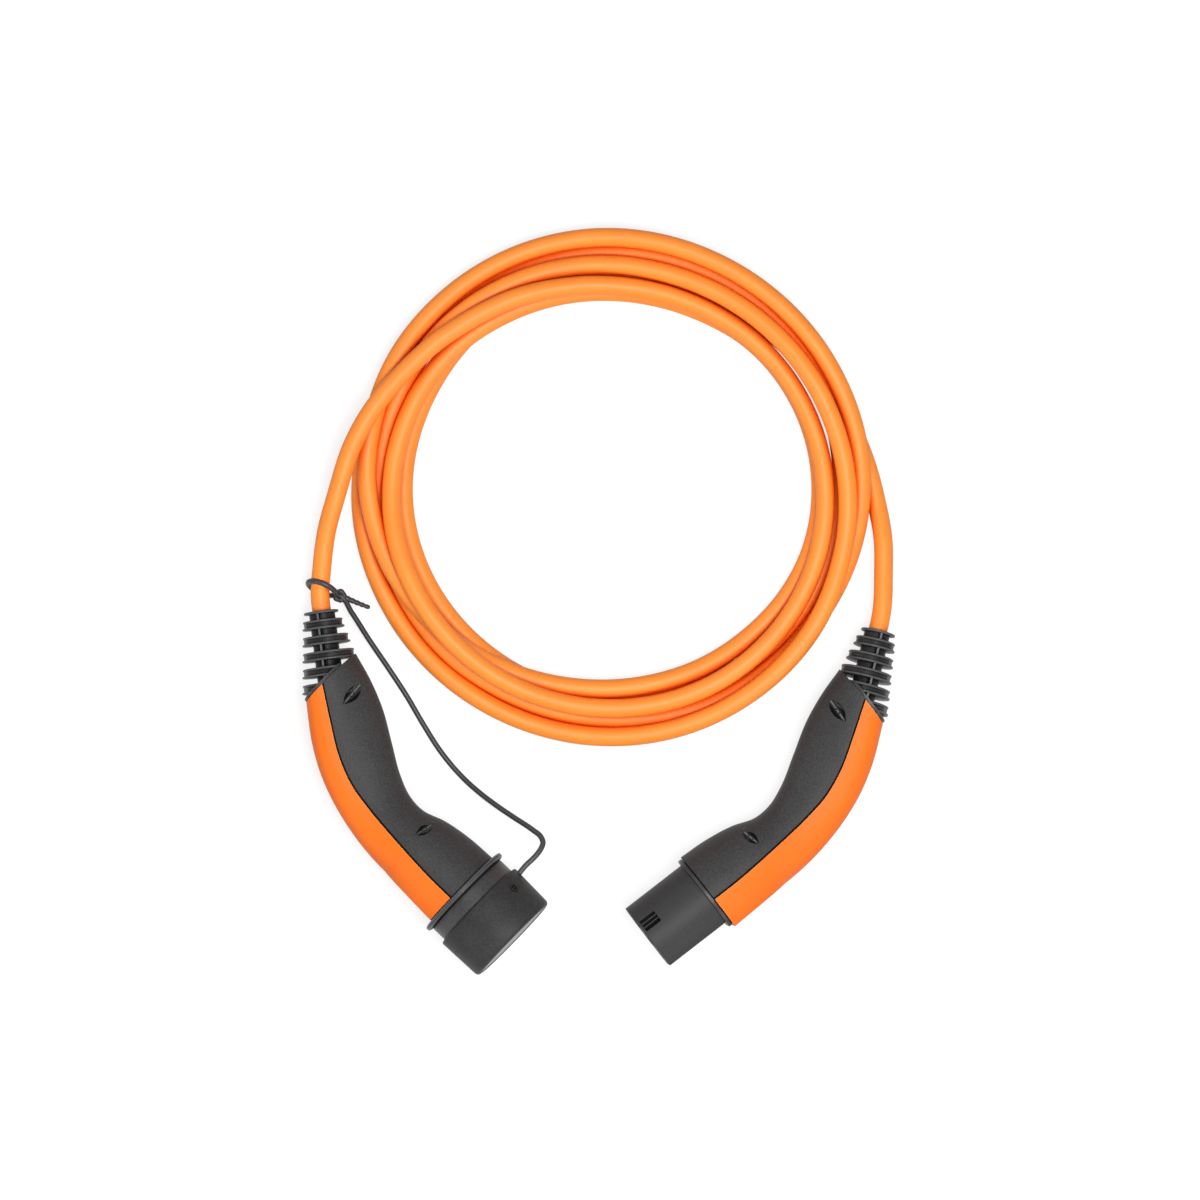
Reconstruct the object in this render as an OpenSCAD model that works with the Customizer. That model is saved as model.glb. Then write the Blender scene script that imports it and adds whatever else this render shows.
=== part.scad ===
// EV charging cable: coiled orange cable with a vehicle connector on one end and a
// capped plug on the other. Units mm. The floor is z = 0 and +Z looks at the camera.
// The connectors are built in their own frame: x along the nose axis, pointing forward,
// y towards the orange back shell, z sideways, with x = 0 at the front face of the seal.

/* [Cable] */
// outer diameter of the cable jacket
cable_d = 13; // [11:0.5:15]
// radius of the outermost turn, to the outside of the jacket
coil_outer_r = 182.8; // [178:0.4:190]
// radius of the innermost turn, to the inside of the jacket
coil_inner_r = 132.5; // [120:0.5:140]
// height of the coiled turns lying on each other
coil_height = 27; // [25:0.5:30]

/* [Connector] */
// radius of the round part of the vehicle nose
nose_r = 28; // [27:0.1:29]
// distance from the nose axis to the flat on the nose
nose_flat = 21.7; // [20:0.1:23]
// length of the nose in front of the seal
nose_length = 49.3; // [46:0.1:54]
// wall thickness of the two handle shells
wall = 2.8; // [2.2:0.1:3.4]
// thickness of the rubber seal between nose and handle
seal_t = 3.4; // [3:0.1:4.5]
// half width of the handle at its rear cut face
rear_half_width = 25.5; // [24:0.5:27]

/* [Contacts] */
// diameter of the power and earth contacts
power_d = 6; // [5:0.1:6.4]
// diameter of the two signal contacts
signal_d = 3; // [2.4:0.1:3.4]
// distance of the outer phase and neutral contacts from the axis
contact_pitch = 16; // [15:0.1:17]

/* [Strain relief boot] */
// length of the boot from the rear cut face to its mouth, along its axis
boot_length = 48.5; // [44:0.5:56]
// outer radius of the boot at its mouth
boot_mouth_r = 11.8; // [11:0.1:13]
// growth of the boot radius for each mm from the mouth
boot_taper = 0.18; // [0.12:0.01:0.2]
// number of ribbed bands on the boot
boot_bands = 5; // [3:1:5]

/* [Cap] */
// outer radius of the lip of the dust cap
cap_lip_r = 36.8; // [36:0.1:40]
// length of the dust cap in front of the seal
cap_length = 48.2; // [46:0.1:54]
// diameter of the lanyard strap
lanyard_d = 3.5; // [2.5:0.1:4.5]

/* [Build] */
// which node is drawn

/* [Hidden] */
$fn = 48;

black = [0.16, 0.16, 0.17];
orange = [1, 0.48, 0.12];
rubber = [0.1, 0.1, 0.1];
silver = [0.8, 0.8, 0.78];
white = [0.9, 0.9, 0.88];
steel = [0.65, 0.66, 0.68];

cable_r = cable_d / 2;
beyond = 4 * boot_length;
lanyard_r = lanyard_d / 2;
eps = 0.1;

// handle profile: x, concave side y, back y, seam y, half width
handle_front_x = -seal_t;
handle_rear_x = -171.5;
profile = [
  [handle_rear_x, -68.5, -19.6, -36.7, rear_half_width],
  [-150, -62, -2.8, -22.4, rear_half_width - 1],
  [-130, -53.4, 8.9, -9.8, 22.8],
  [-110, -41.4, 16.8, -1.3, 21.4],
  [-90, -29.4, 22.1, 2.5, 21.2],
  [-75, -23.5, 24.7, 4.1, 22.5],
  [-62, -22.6, 26, 5, 25],
  [-45, -28, 26.6, 6, nose_r + 0.5],
  [-25, -nose_r - 3.4, nose_flat + 5.5, 6.8, nose_r + 3.2],
  [handle_front_x, -nose_r - 4.6, nose_flat + 6.2, 6.7, nose_r + 4.6]
];
// x positions of the loft sections, rear to front
stations = concat([handle_rear_x, -161, -150, -140, -130, -120, -110, -100, -90, -82.5, -75,
  -68, -62, -56, -50, -44, -38, -31, -25, -15], [handle_front_x]);
lower_steps = 18;
upper_steps = 12;
back_power = 3;
groove_w = 0.35;
groove_depth = 1;

// fractions of the way along a table row, and smooth table lookup
function row_of(tab, x, i = 0) =
  i >= len(tab) - 2 || x <= tab[i + 1][0] ? i : row_of(tab, x, i + 1);
function slope(tab, c, i) =
  let (a = max(i - 1, 0), b = min(i + 1, len(tab) - 1))
  (tab[b][c] - tab[a][c]) / (tab[b][0] - tab[a][0]);
function smooth(tab, c, x) =
  let (i = row_of(tab, x), w = tab[i + 1][0] - tab[i][0], t = (x - tab[i][0]) / w)
  let (t2 = t * t, t3 = t2 * t)
  (2 * t3 - 3 * t2 + 1) * tab[i][c] + (t3 - 2 * t2 + t) * slope(tab, c, i) * w
  + (3 * t2 - 2 * t3) * tab[i + 1][c] + (t3 - t2) * slope(tab, c, i + 1) * w;

// share of the round D shape in a section: none at the grip, all at the front
function d_share(x) =
  let (t = min(max((x + 80) / 42, 0), 1))
  t * t * (3 - 2 * t);
function spow(v, e) = sign(v) * pow(abs(v), e);

// one half outline of a section, inset by t, as [y, z] points from +z to -z
function half_outline(x, t, low) =
  let (front = smooth(profile, 1, x) + t, back = smooth(profile, 2, x) - t)
  let (seam = smooth(profile, 3, x), half = smooth(profile, 4, x) - t)
  let (share = d_share(x), n = low ? lower_steps : upper_steps)
  let (reach = low ? -front : max(-front, back), start = asin(seam / reach))
  [for (k = [0 : n])
    let (f = k / n)
    let (beta = low ? -180 * f : 180 * f)
    let (alpha = low ? start - (180 + 2 * start) * f : start + (180 - 2 * start) * f)
    let (e = low ? 1 : 2 / back_power)
    let (grip_y = seam + (low ? seam - front : back - seam) * spow(sin(beta), e))
    let (grip_z = half * spow(cos(beta), e))
    let (round_y = min(reach * sin(alpha), back), round_z = half * cos(alpha))
    [grip_y + (round_y - grip_y) * share, grip_z + (round_z - grip_z) * share]];

function to3d(x, outline) = [for (p = outline) [x, p[0], p[1]]];
function reversed(v) = [for (i = [len(v) - 1 : -1 : 0]) v[i]];
function shifted(p, dy, dz) = [p[0] + dy, p[1] + dz];

// closed C-shaped sections: an outer path, then the inner path back, point for point.
// The front shell has a shadow groove under the seam.
function front_section(x) =
  let (outer = half_outline(x, 0, true), inner = half_outline(x, wall, true), n = lower_steps)
  let (a = outer[0], b = outer[n])
  let (path = concat([shifted(a, 0, -groove_depth), shifted(a, -groove_w, -groove_depth),
    shifted(a, -groove_w, 0)], [for (k = [1 : n - 1]) outer[k]],
    [shifted(b, -groove_w, 0), shifted(b, -groove_w, groove_depth), shifted(b, 0, groove_depth)]))
  let (lining = concat([inner[0], between(inner[0], inner[1], 1), between(inner[0], inner[1], 2)],
    [for (k = [1 : n - 1]) inner[k]],
    [between(inner[n], inner[n - 1], 2), between(inner[n], inner[n - 1], 1), inner[n]]))
  concat(path, reversed(lining));
function between(a, b, thirds) = a + (b - a) * thirds / 3;
function back_section(x) =
  concat(half_outline(x, 0, false), reversed(half_outline(x, wall, false)));
function full_section(x, t) =
  let (low = half_outline(x, t, true), up = half_outline(x, t, false))
  concat(low, [for (k = [upper_steps - 1 : -1 : 1]) up[k]]);

// closed solid through rings of equally many points; a C-shaped ring's ends are strips
module loft(rings, c_shape = false) {
  n = len(rings[0]);
  m = len(rings);
  last = (m - 1) * n;
  sides = [for (i = [0 : m - 2], j = [0 : n - 1], half = [0, 1])
    let (a = i * n + j, b = i * n + (j + 1) % n)
    half == 0 ? [a, b, b + n] : [a, b + n, a + n]];
  strips = [for (k = [0 : n / 2 - 2], part = [0 : 3])
    let (a = k, b = k + 1, c = n - 2 - k, d = n - 1 - k)
    part == 0 ? [a, c, b] : part == 1 ? [a, d, c]
    : part == 2 ? [last + a, last + b, last + c] : [last + a, last + c, last + d]];
  fans = [[for (j = [n - 1 : -1 : 0]) j], [for (j = [0 : n - 1]) last + j]];
  polyhedron(points = [for (ring = rings) each ring],
    faces = concat(sides, c_shape ? strips : fans));
}

// round tube through a list of points; ref is any direction the tube never follows
function unit(v) = v / norm(v);
function tube_rings(pts, r, sides, ref) =
  [for (i = [0 : len(pts) - 1])
    let (a = pts[max(i - 1, 0)], b = pts[min(i + 1, len(pts) - 1)])
    let (t = unit(b - a), s = unit(cross(ref, t)), u = cross(t, s))
    [for (k = [0 : sides - 1])
      pts[i] + r * (cos(-360 * k / sides) * s + sin(-360 * k / sides) * u)]];
module tube(pts, r, sides, ref = [0, 0, 1]) {
  loft(tube_rings(pts, r, sides, ref));
}

// D-shaped block: a cylinder along x with a flat on its +y side
module d_body(x0, x1, r, flat) {
  intersection() {
    translate([x0, 0, 0]) rotate([0, 90, 0]) cylinder(h = x1 - x0, r = r);
    translate([x0 - 1, -2 * r, -2 * r]) cube([x1 - x0 + 2, 2 * r + flat, 4 * r]);
  }
}
module slab(x0, x1, outline) {
  translate([x0, 0, 0]) rotate([90, 0, 90]) linear_extrude(height = x1 - x0) polygon(outline);
}
module rod(x0, x1, r) {
  translate([x0, 0, 0]) rotate([0, 90, 0]) cylinder(h = x1 - x0, r = r);
}

// where the connectors lie: each rests on its front support and on the rear of its handle
vehicle_front_r = profile[len(profile) - 1][4];
vehicle_pitch = atan((vehicle_front_r - rear_half_width) / (handle_front_x - handle_rear_x));
vehicle_heading = 217.7;
vehicle_origin = [75.3, -73.9,
  vehicle_front_r * cos(vehicle_pitch) - handle_front_x * sin(vehicle_pitch)];
cap_x = -1;
plug_pitch = atan((cap_lip_r - rear_half_width) / (cap_x - handle_rear_x));
plug_heading = -44.06;
plug_origin = [-93.8, -72.1, cap_lip_r * cos(plug_pitch) - cap_x * sin(plug_pitch)];

module on_vehicle() {
  translate(vehicle_origin) rotate([0, 0, vehicle_heading]) rotate([0, -vehicle_pitch, 0])
    children();
}
module on_plug() {
  translate(plug_origin) rotate([0, 0, plug_heading]) rotate([0, -plug_pitch, 0])
    rotate([180, 0, 0]) children();
}
function placed(p, origin, heading, pitch, side) =
  let (y = side * p[1], z = side * p[2])
  let (x2 = p[0] * cos(pitch) - z * sin(pitch), z2 = p[0] * sin(pitch) + z * cos(pitch))
  origin + [x2 * cos(heading) - y * sin(heading), x2 * sin(heading) + y * cos(heading), z2];
function on_v(p) = placed(p, vehicle_origin, vehicle_heading, vehicle_pitch, 1);
function on_p(p) = placed(p, plug_origin, plug_heading, plug_pitch, -1);

// the cable axis inside the boot: a line through boot_p in the x-y plane
boot_p = [handle_rear_x, -43];
boot_angle = 38.5;
module along_cable() {
  translate([boot_p[0], boot_p[1], 0]) rotate([0, 0, boot_angle]) children();
}
function cable_point(q, n = 0, z = 0) =
  [boot_p[0] + q * cos(boot_angle) - n * sin(boot_angle),
   boot_p[1] + q * sin(boot_angle) + n * cos(boot_angle), z];

// the four housing screws: position, floor of the head seat, inner end of the boss
upper_screw = [-151.7, -46.7];
lower_screw = [-49.8, -14.4];
upper_floor = rear_half_width - 12.3;
lower_floor = nose_r - 11.5;
upper_boss = rear_half_width - 15;
lower_boss = nose_r - 12.5;
upper_length = 9.5;
lower_length = 4.5;
screw_r = 1.5;
head_r = 2.5;
head_h = 2;
seat_r = 2.7;
// screw pockets: width, length, turn, trough floor, height and slope of the boss's top
upper_pocket = [7, 16.6, -3, rear_half_width - 10.1, rear_half_width - 12.2, 20.8];
lower_pocket = [5.6, 13, 13, nose_r - 9.4, nose_r - 12.4, 30];
pocket_wall = 1.8;
pocket_h = 24;

module at_screw(p, side, turn = 0) {
  translate([p[0], p[1], 0]) rotate([0, 0, turn]) rotate([0, side, 0]) children();
}
// almond outline about the screw: round end at -y, pointed end at +y
function leaf_w(t) = t < 0 ? sqrt(1 - t * t) : 1 - pow(t, 1.8);
function leaf(width, length) = concat(
  [for (k = [-10 : 10]) let (t = sin(9 * k)) [leaf_w(t) * width / 2, t * length / 2]],
  [for (k = [9 : -1 : -9]) let (t = sin(9 * k)) [-leaf_w(t) * width / 2, t * length / 2]]);
module screw_boss(pocket, boss_z) {
  intersection() {
    translate([0, 0, boss_z]) linear_extrude(height = pocket_h)
      polygon(leaf(pocket[0] + 2 * pocket_wall, pocket[1] + 2 * pocket_wall));
    translate([0, -pocket[1] / 2, pocket[4]]) rotate([pocket[5], 0, 0])
      translate([-pocket_h, -pocket_h, -pocket_h]) cube([2 * pocket_h, 3 * pocket_h, pocket_h]);
  }
}
// a trough with an almond outline, the seat of the screw head and the screw's hole
module screw_cut(pocket, floor_z, boss_z) {
  axis_z = pocket[3] + pocket[0] / 2;
  intersection() {
    linear_extrude(height = 2 * pocket_h) polygon(leaf(pocket[0], pocket[1]));
    union() {
      translate([0, 0, axis_z]) rotate([90, 0, 0])
        cylinder(h = 2 * pocket_h, r = pocket[0] / 2, center = true);
      translate([-pocket_h, -pocket_h, axis_z]) cube(2 * pocket_h);
    }
  }
  translate([0, 0, floor_z]) cylinder(h = pocket[3] + 1 - floor_z, r = seat_r);
  translate([0, 0, boss_z - 1]) cylinder(h = floor_z + 2 - boss_z, r = screw_r + eps);
}

module front_shell() {
  difference() {
    union() {
      loft([for (x = stations) to3d(x, reversed(front_section(x)))], true);
      for (side = [0, 180]) {
        at_screw(upper_screw, side, upper_pocket[2]) screw_boss(upper_pocket, upper_boss);
        at_screw(lower_screw, side, lower_pocket[2]) screw_boss(lower_pocket, lower_boss);
      }
    }
    for (side = [0, 180]) {
      at_screw(upper_screw, side, upper_pocket[2])
        screw_cut(upper_pocket, upper_floor, upper_boss);
      at_screw(lower_screw, side, lower_pocket[2])
        screw_cut(lower_pocket, lower_floor, lower_boss);
    }
  }
}
module back_shell() {
  loft([for (x = stations) to3d(x, back_section(x))], true);
}

module housing_screw(floor_z, length) {
  difference() {
    union() {
      translate([0, 0, floor_z]) cylinder(h = head_h, r = head_r);
      translate([0, 0, floor_z - length]) cylinder(h = length + eps, r = screw_r);
    }
    translate([0, 0, floor_z + head_h - 1.2]) cylinder(h = 2, r = 1.3, $fn = 6);
  }
}
module housing_screws() {
  for (side = [0, 180]) {
    at_screw(upper_screw, side) housing_screw(upper_floor, upper_length);
    at_screw(lower_screw, side) housing_screw(lower_floor, lower_length);
  }
}

// contacts: y, z, power or signal
contacts = [
  ["l1", 0, contact_pitch, true],
  ["l2", -0.875 * contact_pitch, contact_pitch / 2, true],
  ["l3", -0.875 * contact_pitch, -contact_pitch / 2, true],
  ["n", 0, -contact_pitch, true],
  ["pe", 0, 0, true],
  ["cp", 12.6, 7.8, false],
  ["pp", 12.6, -7.8, false]
];
function spot(c) = [0, contacts[c][1], contacts[c][2]];
function is_power(c) = contacts[c][3];

// contact radii: pin, sleeve, flange, crimp barrel, conductor
function pin_r(c) = (is_power(c) ? power_d : signal_d) / 2;
function sleeve_r(c) = pin_r(c) + (is_power(c) ? 1.5 : 1.1);
function flange_r(c) = sleeve_r(c) + (is_power(c) ? 1 : 0.8);
function barrel_r(c) = is_power(c) ? 3.8 : 2.2;
function core_r(c) = is_power(c) ? 1.8 : 0.7;
insert_rear = -16;
flange_t = 3;
sleeve_front = nose_length - 6.3;
barrel_rear = -34;
crimp_depth = 6;
fit_gap = 0.05;

// sockets have a closed mouth with a lead-in, and spring fingers cut behind it
bore_depth = 31;
lead_in = 0.6;
slit_from = 18;
slit_length = 14.5;
slit_w = 0.7;

module contact_rear(c) {
  difference() {
    union() {
      rod(insert_rear, insert_rear + flange_t, flange_r(c));
      rod(barrel_rear, insert_rear + eps, barrel_r(c));
    }
    rod(barrel_rear - 1, barrel_rear + crimp_depth, core_r(c) + fit_gap);
  }
}
module socket_contact(c) {
  translate(spot(c)) {
    contact_rear(c);
    difference() {
      rod(insert_rear + flange_t - eps, sleeve_front, sleeve_r(c));
      rod(sleeve_front - bore_depth, sleeve_front + 1, pin_r(c));
      translate([sleeve_front - lead_in, 0, 0]) rotate([0, 90, 0])
        cylinder(h = lead_in + eps, r1 = pin_r(c), r2 = pin_r(c) + lead_in + eps);
      for (turn = [0, 90]) {
        rotate([turn, 0, 0]) translate([sleeve_front - slit_from, -slit_w / 2, -sleeve_r(c) - 1])
          cube([slit_length, slit_w, 2 * sleeve_r(c) + 2]);
      }
    }
  }
}
// earth makes first and breaks last, the signal pins the other way round
pin_tips = [35, 35, 35, 35, 38, 30, 30];
module pin_contact(c) {
  tip = pin_tips[c];
  translate(spot(c)) {
    contact_rear(c);
    rod(insert_rear + flange_t - eps, tip, pin_r(c));
    translate([tip, 0, 0]) sphere(r = pin_r(c));
  }
}
module contact_seats() {
  for (c = [0 : 6]) {
    translate(spot(c)) rod(insert_rear - 1, insert_rear + flange_t, flange_r(c) + eps);
  }
}
// the seal sits on a narrower neck, which runs on a little in front of it
neck_r = nose_r - 0.8;
neck_flat = nose_flat - 0.8;
seal_relief = 0.3;
module insert_spigot() {
  d_body(insert_rear, -seal_t, nose_r + 0.9, nose_flat + 0.9);
}

// locking notch in the side of the nose: x from the tip, y, depth from the axis
notch_x = [nose_length - 14.3, nose_length - 1.7];
notch_y = [-15.7, -7.3];
notch_floor = nose_r - 9;
module nose() {
  difference() {
    union() {
      insert_spigot();
      d_body(-seal_t - eps, seal_relief + eps, neck_r, neck_flat);
      d_body(seal_relief, nose_length, nose_r, nose_flat);
    }
    contact_seats();
    for (c = [0 : 6]) {
      translate(spot(c)) {
        rod(insert_rear, sleeve_front + 1, sleeve_r(c) + fit_gap);
        rod(sleeve_front, nose_length + 1, sleeve_r(c) + 0.9);
      }
    }
    translate([notch_x[0], notch_y[0], notch_floor])
      cube([notch_x[1] - notch_x[0], notch_y[1] - notch_y[0], nose_r]);
  }
}

shroud_r = nose_r + 2.2;
shroud_flat = nose_flat + 2.2;
shroud_wall = 1.9;
shroud_front = cap_x + cap_length - 3;
shroud_floor = 6;
module shroud() {
  difference() {
    union() {
      insert_spigot();
      d_body(-seal_t - eps, cap_x + eps, neck_r, neck_flat);
      d_body(cap_x, shroud_front, shroud_r, shroud_flat);
    }
    contact_seats();
    for (c = [0 : 6]) {
      translate(spot(c)) rod(insert_rear, shroud_floor + 1, pin_r(c) + fit_gap);
    }
    d_body(shroud_floor, shroud_front + 1, shroud_r - shroud_wall, shroud_flat - shroud_wall);
  }
}

// the lip of the seal stands out in front of a narrower neck
seal_lip_r = nose_r + 3.4;
seal_lip_flat = nose_flat + 3.8;
seal_neck_r = nose_r + 2.8;
seal_neck_flat = nose_flat + 3.2;
module seal(front, lip) {
  difference() {
    union() {
      d_body(-seal_t, front, seal_neck_r, seal_neck_flat);
      d_body(front - lip, front, seal_lip_r, seal_lip_flat);
    }
    d_body(-seal_t - 1, front + 1, neck_r, neck_flat);
  }
}

// insulating holder behind the contacts; its arms take the two lower housing screws
holder_t = 6;
holder_gap = 0.5;
arm_half = 3;
arm_inner = contact_pitch / 2 + 4.2;
module contact_holder() {
  difference() {
    union() {
      d_body(insert_rear - holder_t, insert_rear, nose_r - holder_gap, nose_flat - holder_gap);
      for (z = [-lower_boss, arm_inner]) {
        translate([lower_screw[0], lower_screw[1], z]) {
          cylinder(h = lower_boss - arm_inner, r = arm_half);
          translate([0, -arm_half, 0]) cube([insert_rear - holder_t - lower_screw[0] + eps,
            2 * arm_half, lower_boss - arm_inner]);
        }
      }
    }
    for (c = [0 : 6]) {
      translate(spot(c)) rod(insert_rear - holder_t - 1, insert_rear + 1,
        barrel_r(c) + fit_gap);
    }
    for (side = [0, 180]) {
      at_screw(lower_screw, side) translate([0, 0, arm_inner - 1])
        cylinder(h = holder_t, r = screw_r);
    }
  }
}

// cord clamp: q along the cable inwards, n towards the back shell
clamp_q = [9, 23];
strap_q = [14, 23];
clamp_bottom = -18.5;
strap_top = cable_r + 2.5;
strap_half = cable_r + 5.8;
clamp_screw_z = cable_r + 3.1;
clamp_screw_q = (strap_q[0] + strap_q[1]) / 2;
clamp_screw_r = 1.4;
clamp_screw_tip = -7.5;
jacket_end = 27;
// the upper housing screws in the cable's own frame
screw_dx = upper_screw[0] - boot_p[0];
screw_dy = upper_screw[1] - boot_p[1];
screw_q = screw_dx * cos(boot_angle) + screw_dy * sin(boot_angle);
screw_n = screw_dy * cos(boot_angle) - screw_dx * sin(boot_angle);
module clamp_screw_at(z) {
  translate([clamp_screw_q, 0, z]) rotate([-90, 0, 0]) children();
}
module clamp_base() {
  along_cable() difference() {
    union() {
      translate([clamp_q[0], clamp_bottom, -upper_boss])
        cube([clamp_q[1] - clamp_q[0], -clamp_bottom, 2 * upper_boss]);
      translate([strap_q[0], -7, -strap_half])
        cube([strap_q[1] - strap_q[0], 7, 2 * strap_half]);
    }
    rod(clamp_q[0] - 1, clamp_q[1] + 1, cable_r);
    for (z = [-clamp_screw_z, clamp_screw_z]) {
      clamp_screw_at(z) translate([0, 0, clamp_screw_tip]) cylinder(h = 10, r = clamp_screw_r);
    }
    for (z = [-upper_boss - 1, upper_floor - upper_length]) {
      translate([screw_q, screw_n, z])
        cylinder(h = upper_boss + 1 - upper_floor + upper_length, r = screw_r);
    }
  }
}
module clamp_strap() {
  along_cable() difference() {
    translate([strap_q[0], 0, -strap_half])
      cube([strap_q[1] - strap_q[0], strap_top, 2 * strap_half]);
    rod(strap_q[0] - 1, strap_q[1] + 1, cable_r);
    for (z = [-clamp_screw_z, clamp_screw_z]) {
      clamp_screw_at(z) translate([0, 0, -1]) cylinder(h = 20, r = clamp_screw_r + eps);
    }
  }
}
module clamp_screws() {
  along_cable() for (z = [-clamp_screw_z, clamp_screw_z]) {
    clamp_screw_at(z) {
      translate([0, 0, clamp_screw_tip])
        cylinder(h = strap_top - clamp_screw_tip + eps, r = clamp_screw_r);
      translate([0, 0, strap_top]) cylinder(h = 1.8, r = 2.5);
    }
  }
}

// cores: place in the bundle as [towards the back, sideways]
bundle = [[1.02, 3.14], [-2.67, 1.94], [-2.67, -1.94], [1.02, -3.14], [3.3, 0],
  [0, 0.75], [0, -0.75]];
module core(c) {
  y = contacts[c][1];
  z = contacts[c][2];
  b = bundle[c];
  tube([cable_point(jacket_end + 0.3, b[0], b[1]),
    [-122, -10 + 1.6 * b[0], 1.8 * b[1]],
    [-75, 0.6 * y + 0.9 * b[0], 0.5 * (z + b[1])],
    [barrel_rear - 6, y, z],
    [barrel_rear + crimp_depth, y, z]], core_r(c), 8);
}
module cores() {
  for (c = [0 : 6]) {
    core(c);
  }
}

// strain relief boot, turned about the cable axis: s from the mouth, q from the cut face
band_pitch = 11.05;
band_w = 6.4;
band_first = 6.3;
mouth_ring = 1.9;
flange_w = 1.6;
flange_groove = 1.2;
boot_core_r = cable_r + 2.6;
base_t = 1.2;
plug_in = 3.2;
function boot_r(s) = boot_mouth_r + boot_taper * s;
rib_n = 2.4;
rib_t = 1.4;
// how far a band's centre lies off the cable axis, towards the concave side
function band_off(s) = 0.055 * s - 0.8;
function band_profile(s) =
  [[cable_r, s], [boot_r(s), s], [boot_r(s + flange_w), s + flange_w],
   [boot_r(s + flange_w) - flange_groove, s + flange_w],
   [boot_r(s + band_w - flange_w) - flange_groove, s + band_w - flange_w],
   [boot_r(s + band_w - flange_w), s + band_w - flange_w],
   [boot_r(s + band_w), s + band_w], [cable_r, s + band_w]];
module boot_band(s, outline) {
  translate([-boot_length, -band_off(s), 0]) rotate([0, 90, 0]) rotate_extrude() polygon(outline);
}
module boot_outside() {
  rod(-boot_length, 12, boot_core_r);
  boot_band(0, [[0, 0], [boot_mouth_r, 0], [boot_r(mouth_ring), mouth_ring], [0, mouth_ring]]);
  for (i = [0 : boot_bands - 1]) {
    s = band_first + band_pitch * i;
    from = i == 0 ? mouth_ring - eps : s - band_pitch + band_w - eps;
    boot_band(s, band_profile(s));
    for (side = [-1, 1]) {
      translate([from - boot_length, rib_n - rib_t / 2, side > 0 ? boot_core_r - 1.2
        : 1.6 - boot_r(from)]) cube([s + eps - from, rib_t, boot_r(from) - boot_core_r - 0.4]);
    }
  }
}
module boot() {
  difference() {
    union() {
      difference() {
        along_cable() boot_outside();
        translate([handle_rear_x, -beyond, -beyond]) cube(2 * beyond);
      }
      slab(handle_rear_x - base_t, handle_rear_x, full_section(handle_rear_x, 0.8));
      slab(handle_rear_x - eps, handle_rear_x + plug_in,
        full_section(handle_rear_x, wall + 1.2));
    }
    along_cable() rod(-boot_length - 1, 20, cable_r);
  }
}

// dust cap, pushed on over the shroud; turned about a line 2 mm below the nose axis
cap_y = -2;
cap_lip_t = 2;
cap_neck = 14;
cap_neck_r = cap_lip_r - 3.4;
cap_body_r = cap_lip_r - 0.4;
cap_round = 4;
cap_clear = 0.25;
lanyard_root = [cap_x + 18.6, cap_y - cap_body_r + 0.4, 0];
module dust_cap() {
  body_end = cap_length - cap_round;
  front_r = cap_body_r - 0.9;
  outline = concat([[0, 0], [cap_lip_r, 0], [cap_lip_r, cap_lip_t], [cap_neck_r, cap_lip_t],
    [cap_neck_r, cap_neck], [cap_body_r, cap_neck]],
    [for (a = [0 : 15 : 90])
      [front_r - cap_round + cap_round * cos(a), body_end + cap_round * sin(a)]],
    [[0, cap_length]]);
  difference() {
    union() {
      translate([cap_x, cap_y, 0]) rotate([0, 90, 0]) rotate_extrude() polygon(outline);
      translate([cap_x + 22.5, -28.5, -cap_body_r + 9.9]) cylinder(h = 6, r = 1.6);
    }
    d_body(cap_x - 1, cap_x + cap_length - 2.6, shroud_r + cap_clear,
      shroud_flat + cap_clear);
  }
}

// lanyard strap: cap to eye, on the floor in between; its loop is a ring about the cable
eye_at = [-180.7, 136.6, 20];
eye_r = 3.1;
strap_route = [
  on_p(lanyard_root), [-46.7, -50.6, 37.5], [-38.1, -42.8, 35.5], [-36.5, -35, 33],
  [-43.6, -27.1, 29], [-59.2, -17.8, 20], [-82.6, -2.2, 7.5], [-106, 21.3, lanyard_r],
  [-123.2, 46.3, lanyard_r], [-142, 72.1, 2.5], [-161.5, 105.7, 8.5],
  [-174.2, 124.2, 15.5], eye_at
];
loop_at = [-193, 141.8, 21.8];
loop_r = cable_r + lanyard_r + 2;
loop_turn = -22.3;
tail_route = [eye_at + [-0.5, 0.5, 1], [-174, 134, 18.5], [-167, 131, 15.5],
  [-160, 128.3, 12.5]];

// cable outside the coil: from its jacket end in each handle to the coiled turns
top_z = coil_height + cable_r - eps;
vehicle_route = [[200, 150.5, 17.5], [200, 176.5, 12], [195.5, 203.5, 8],
  [191.5, 219.5, cable_r], [183.5, 236.5, cable_r]];
plug_route = [[-193, 150.5, top_z - 8.9], [-191, 178.5, top_z - 5.4],
  [-183, 206.5, top_z - 0.9], [-170.5, 243.5, top_z], [-154.5, 270.5, top_z],
  [-134.5, 294, top_z], [-90, 329, top_z]];
coil_centre = [8.6, 211.3];
coil_corner = 5.5;

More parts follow.
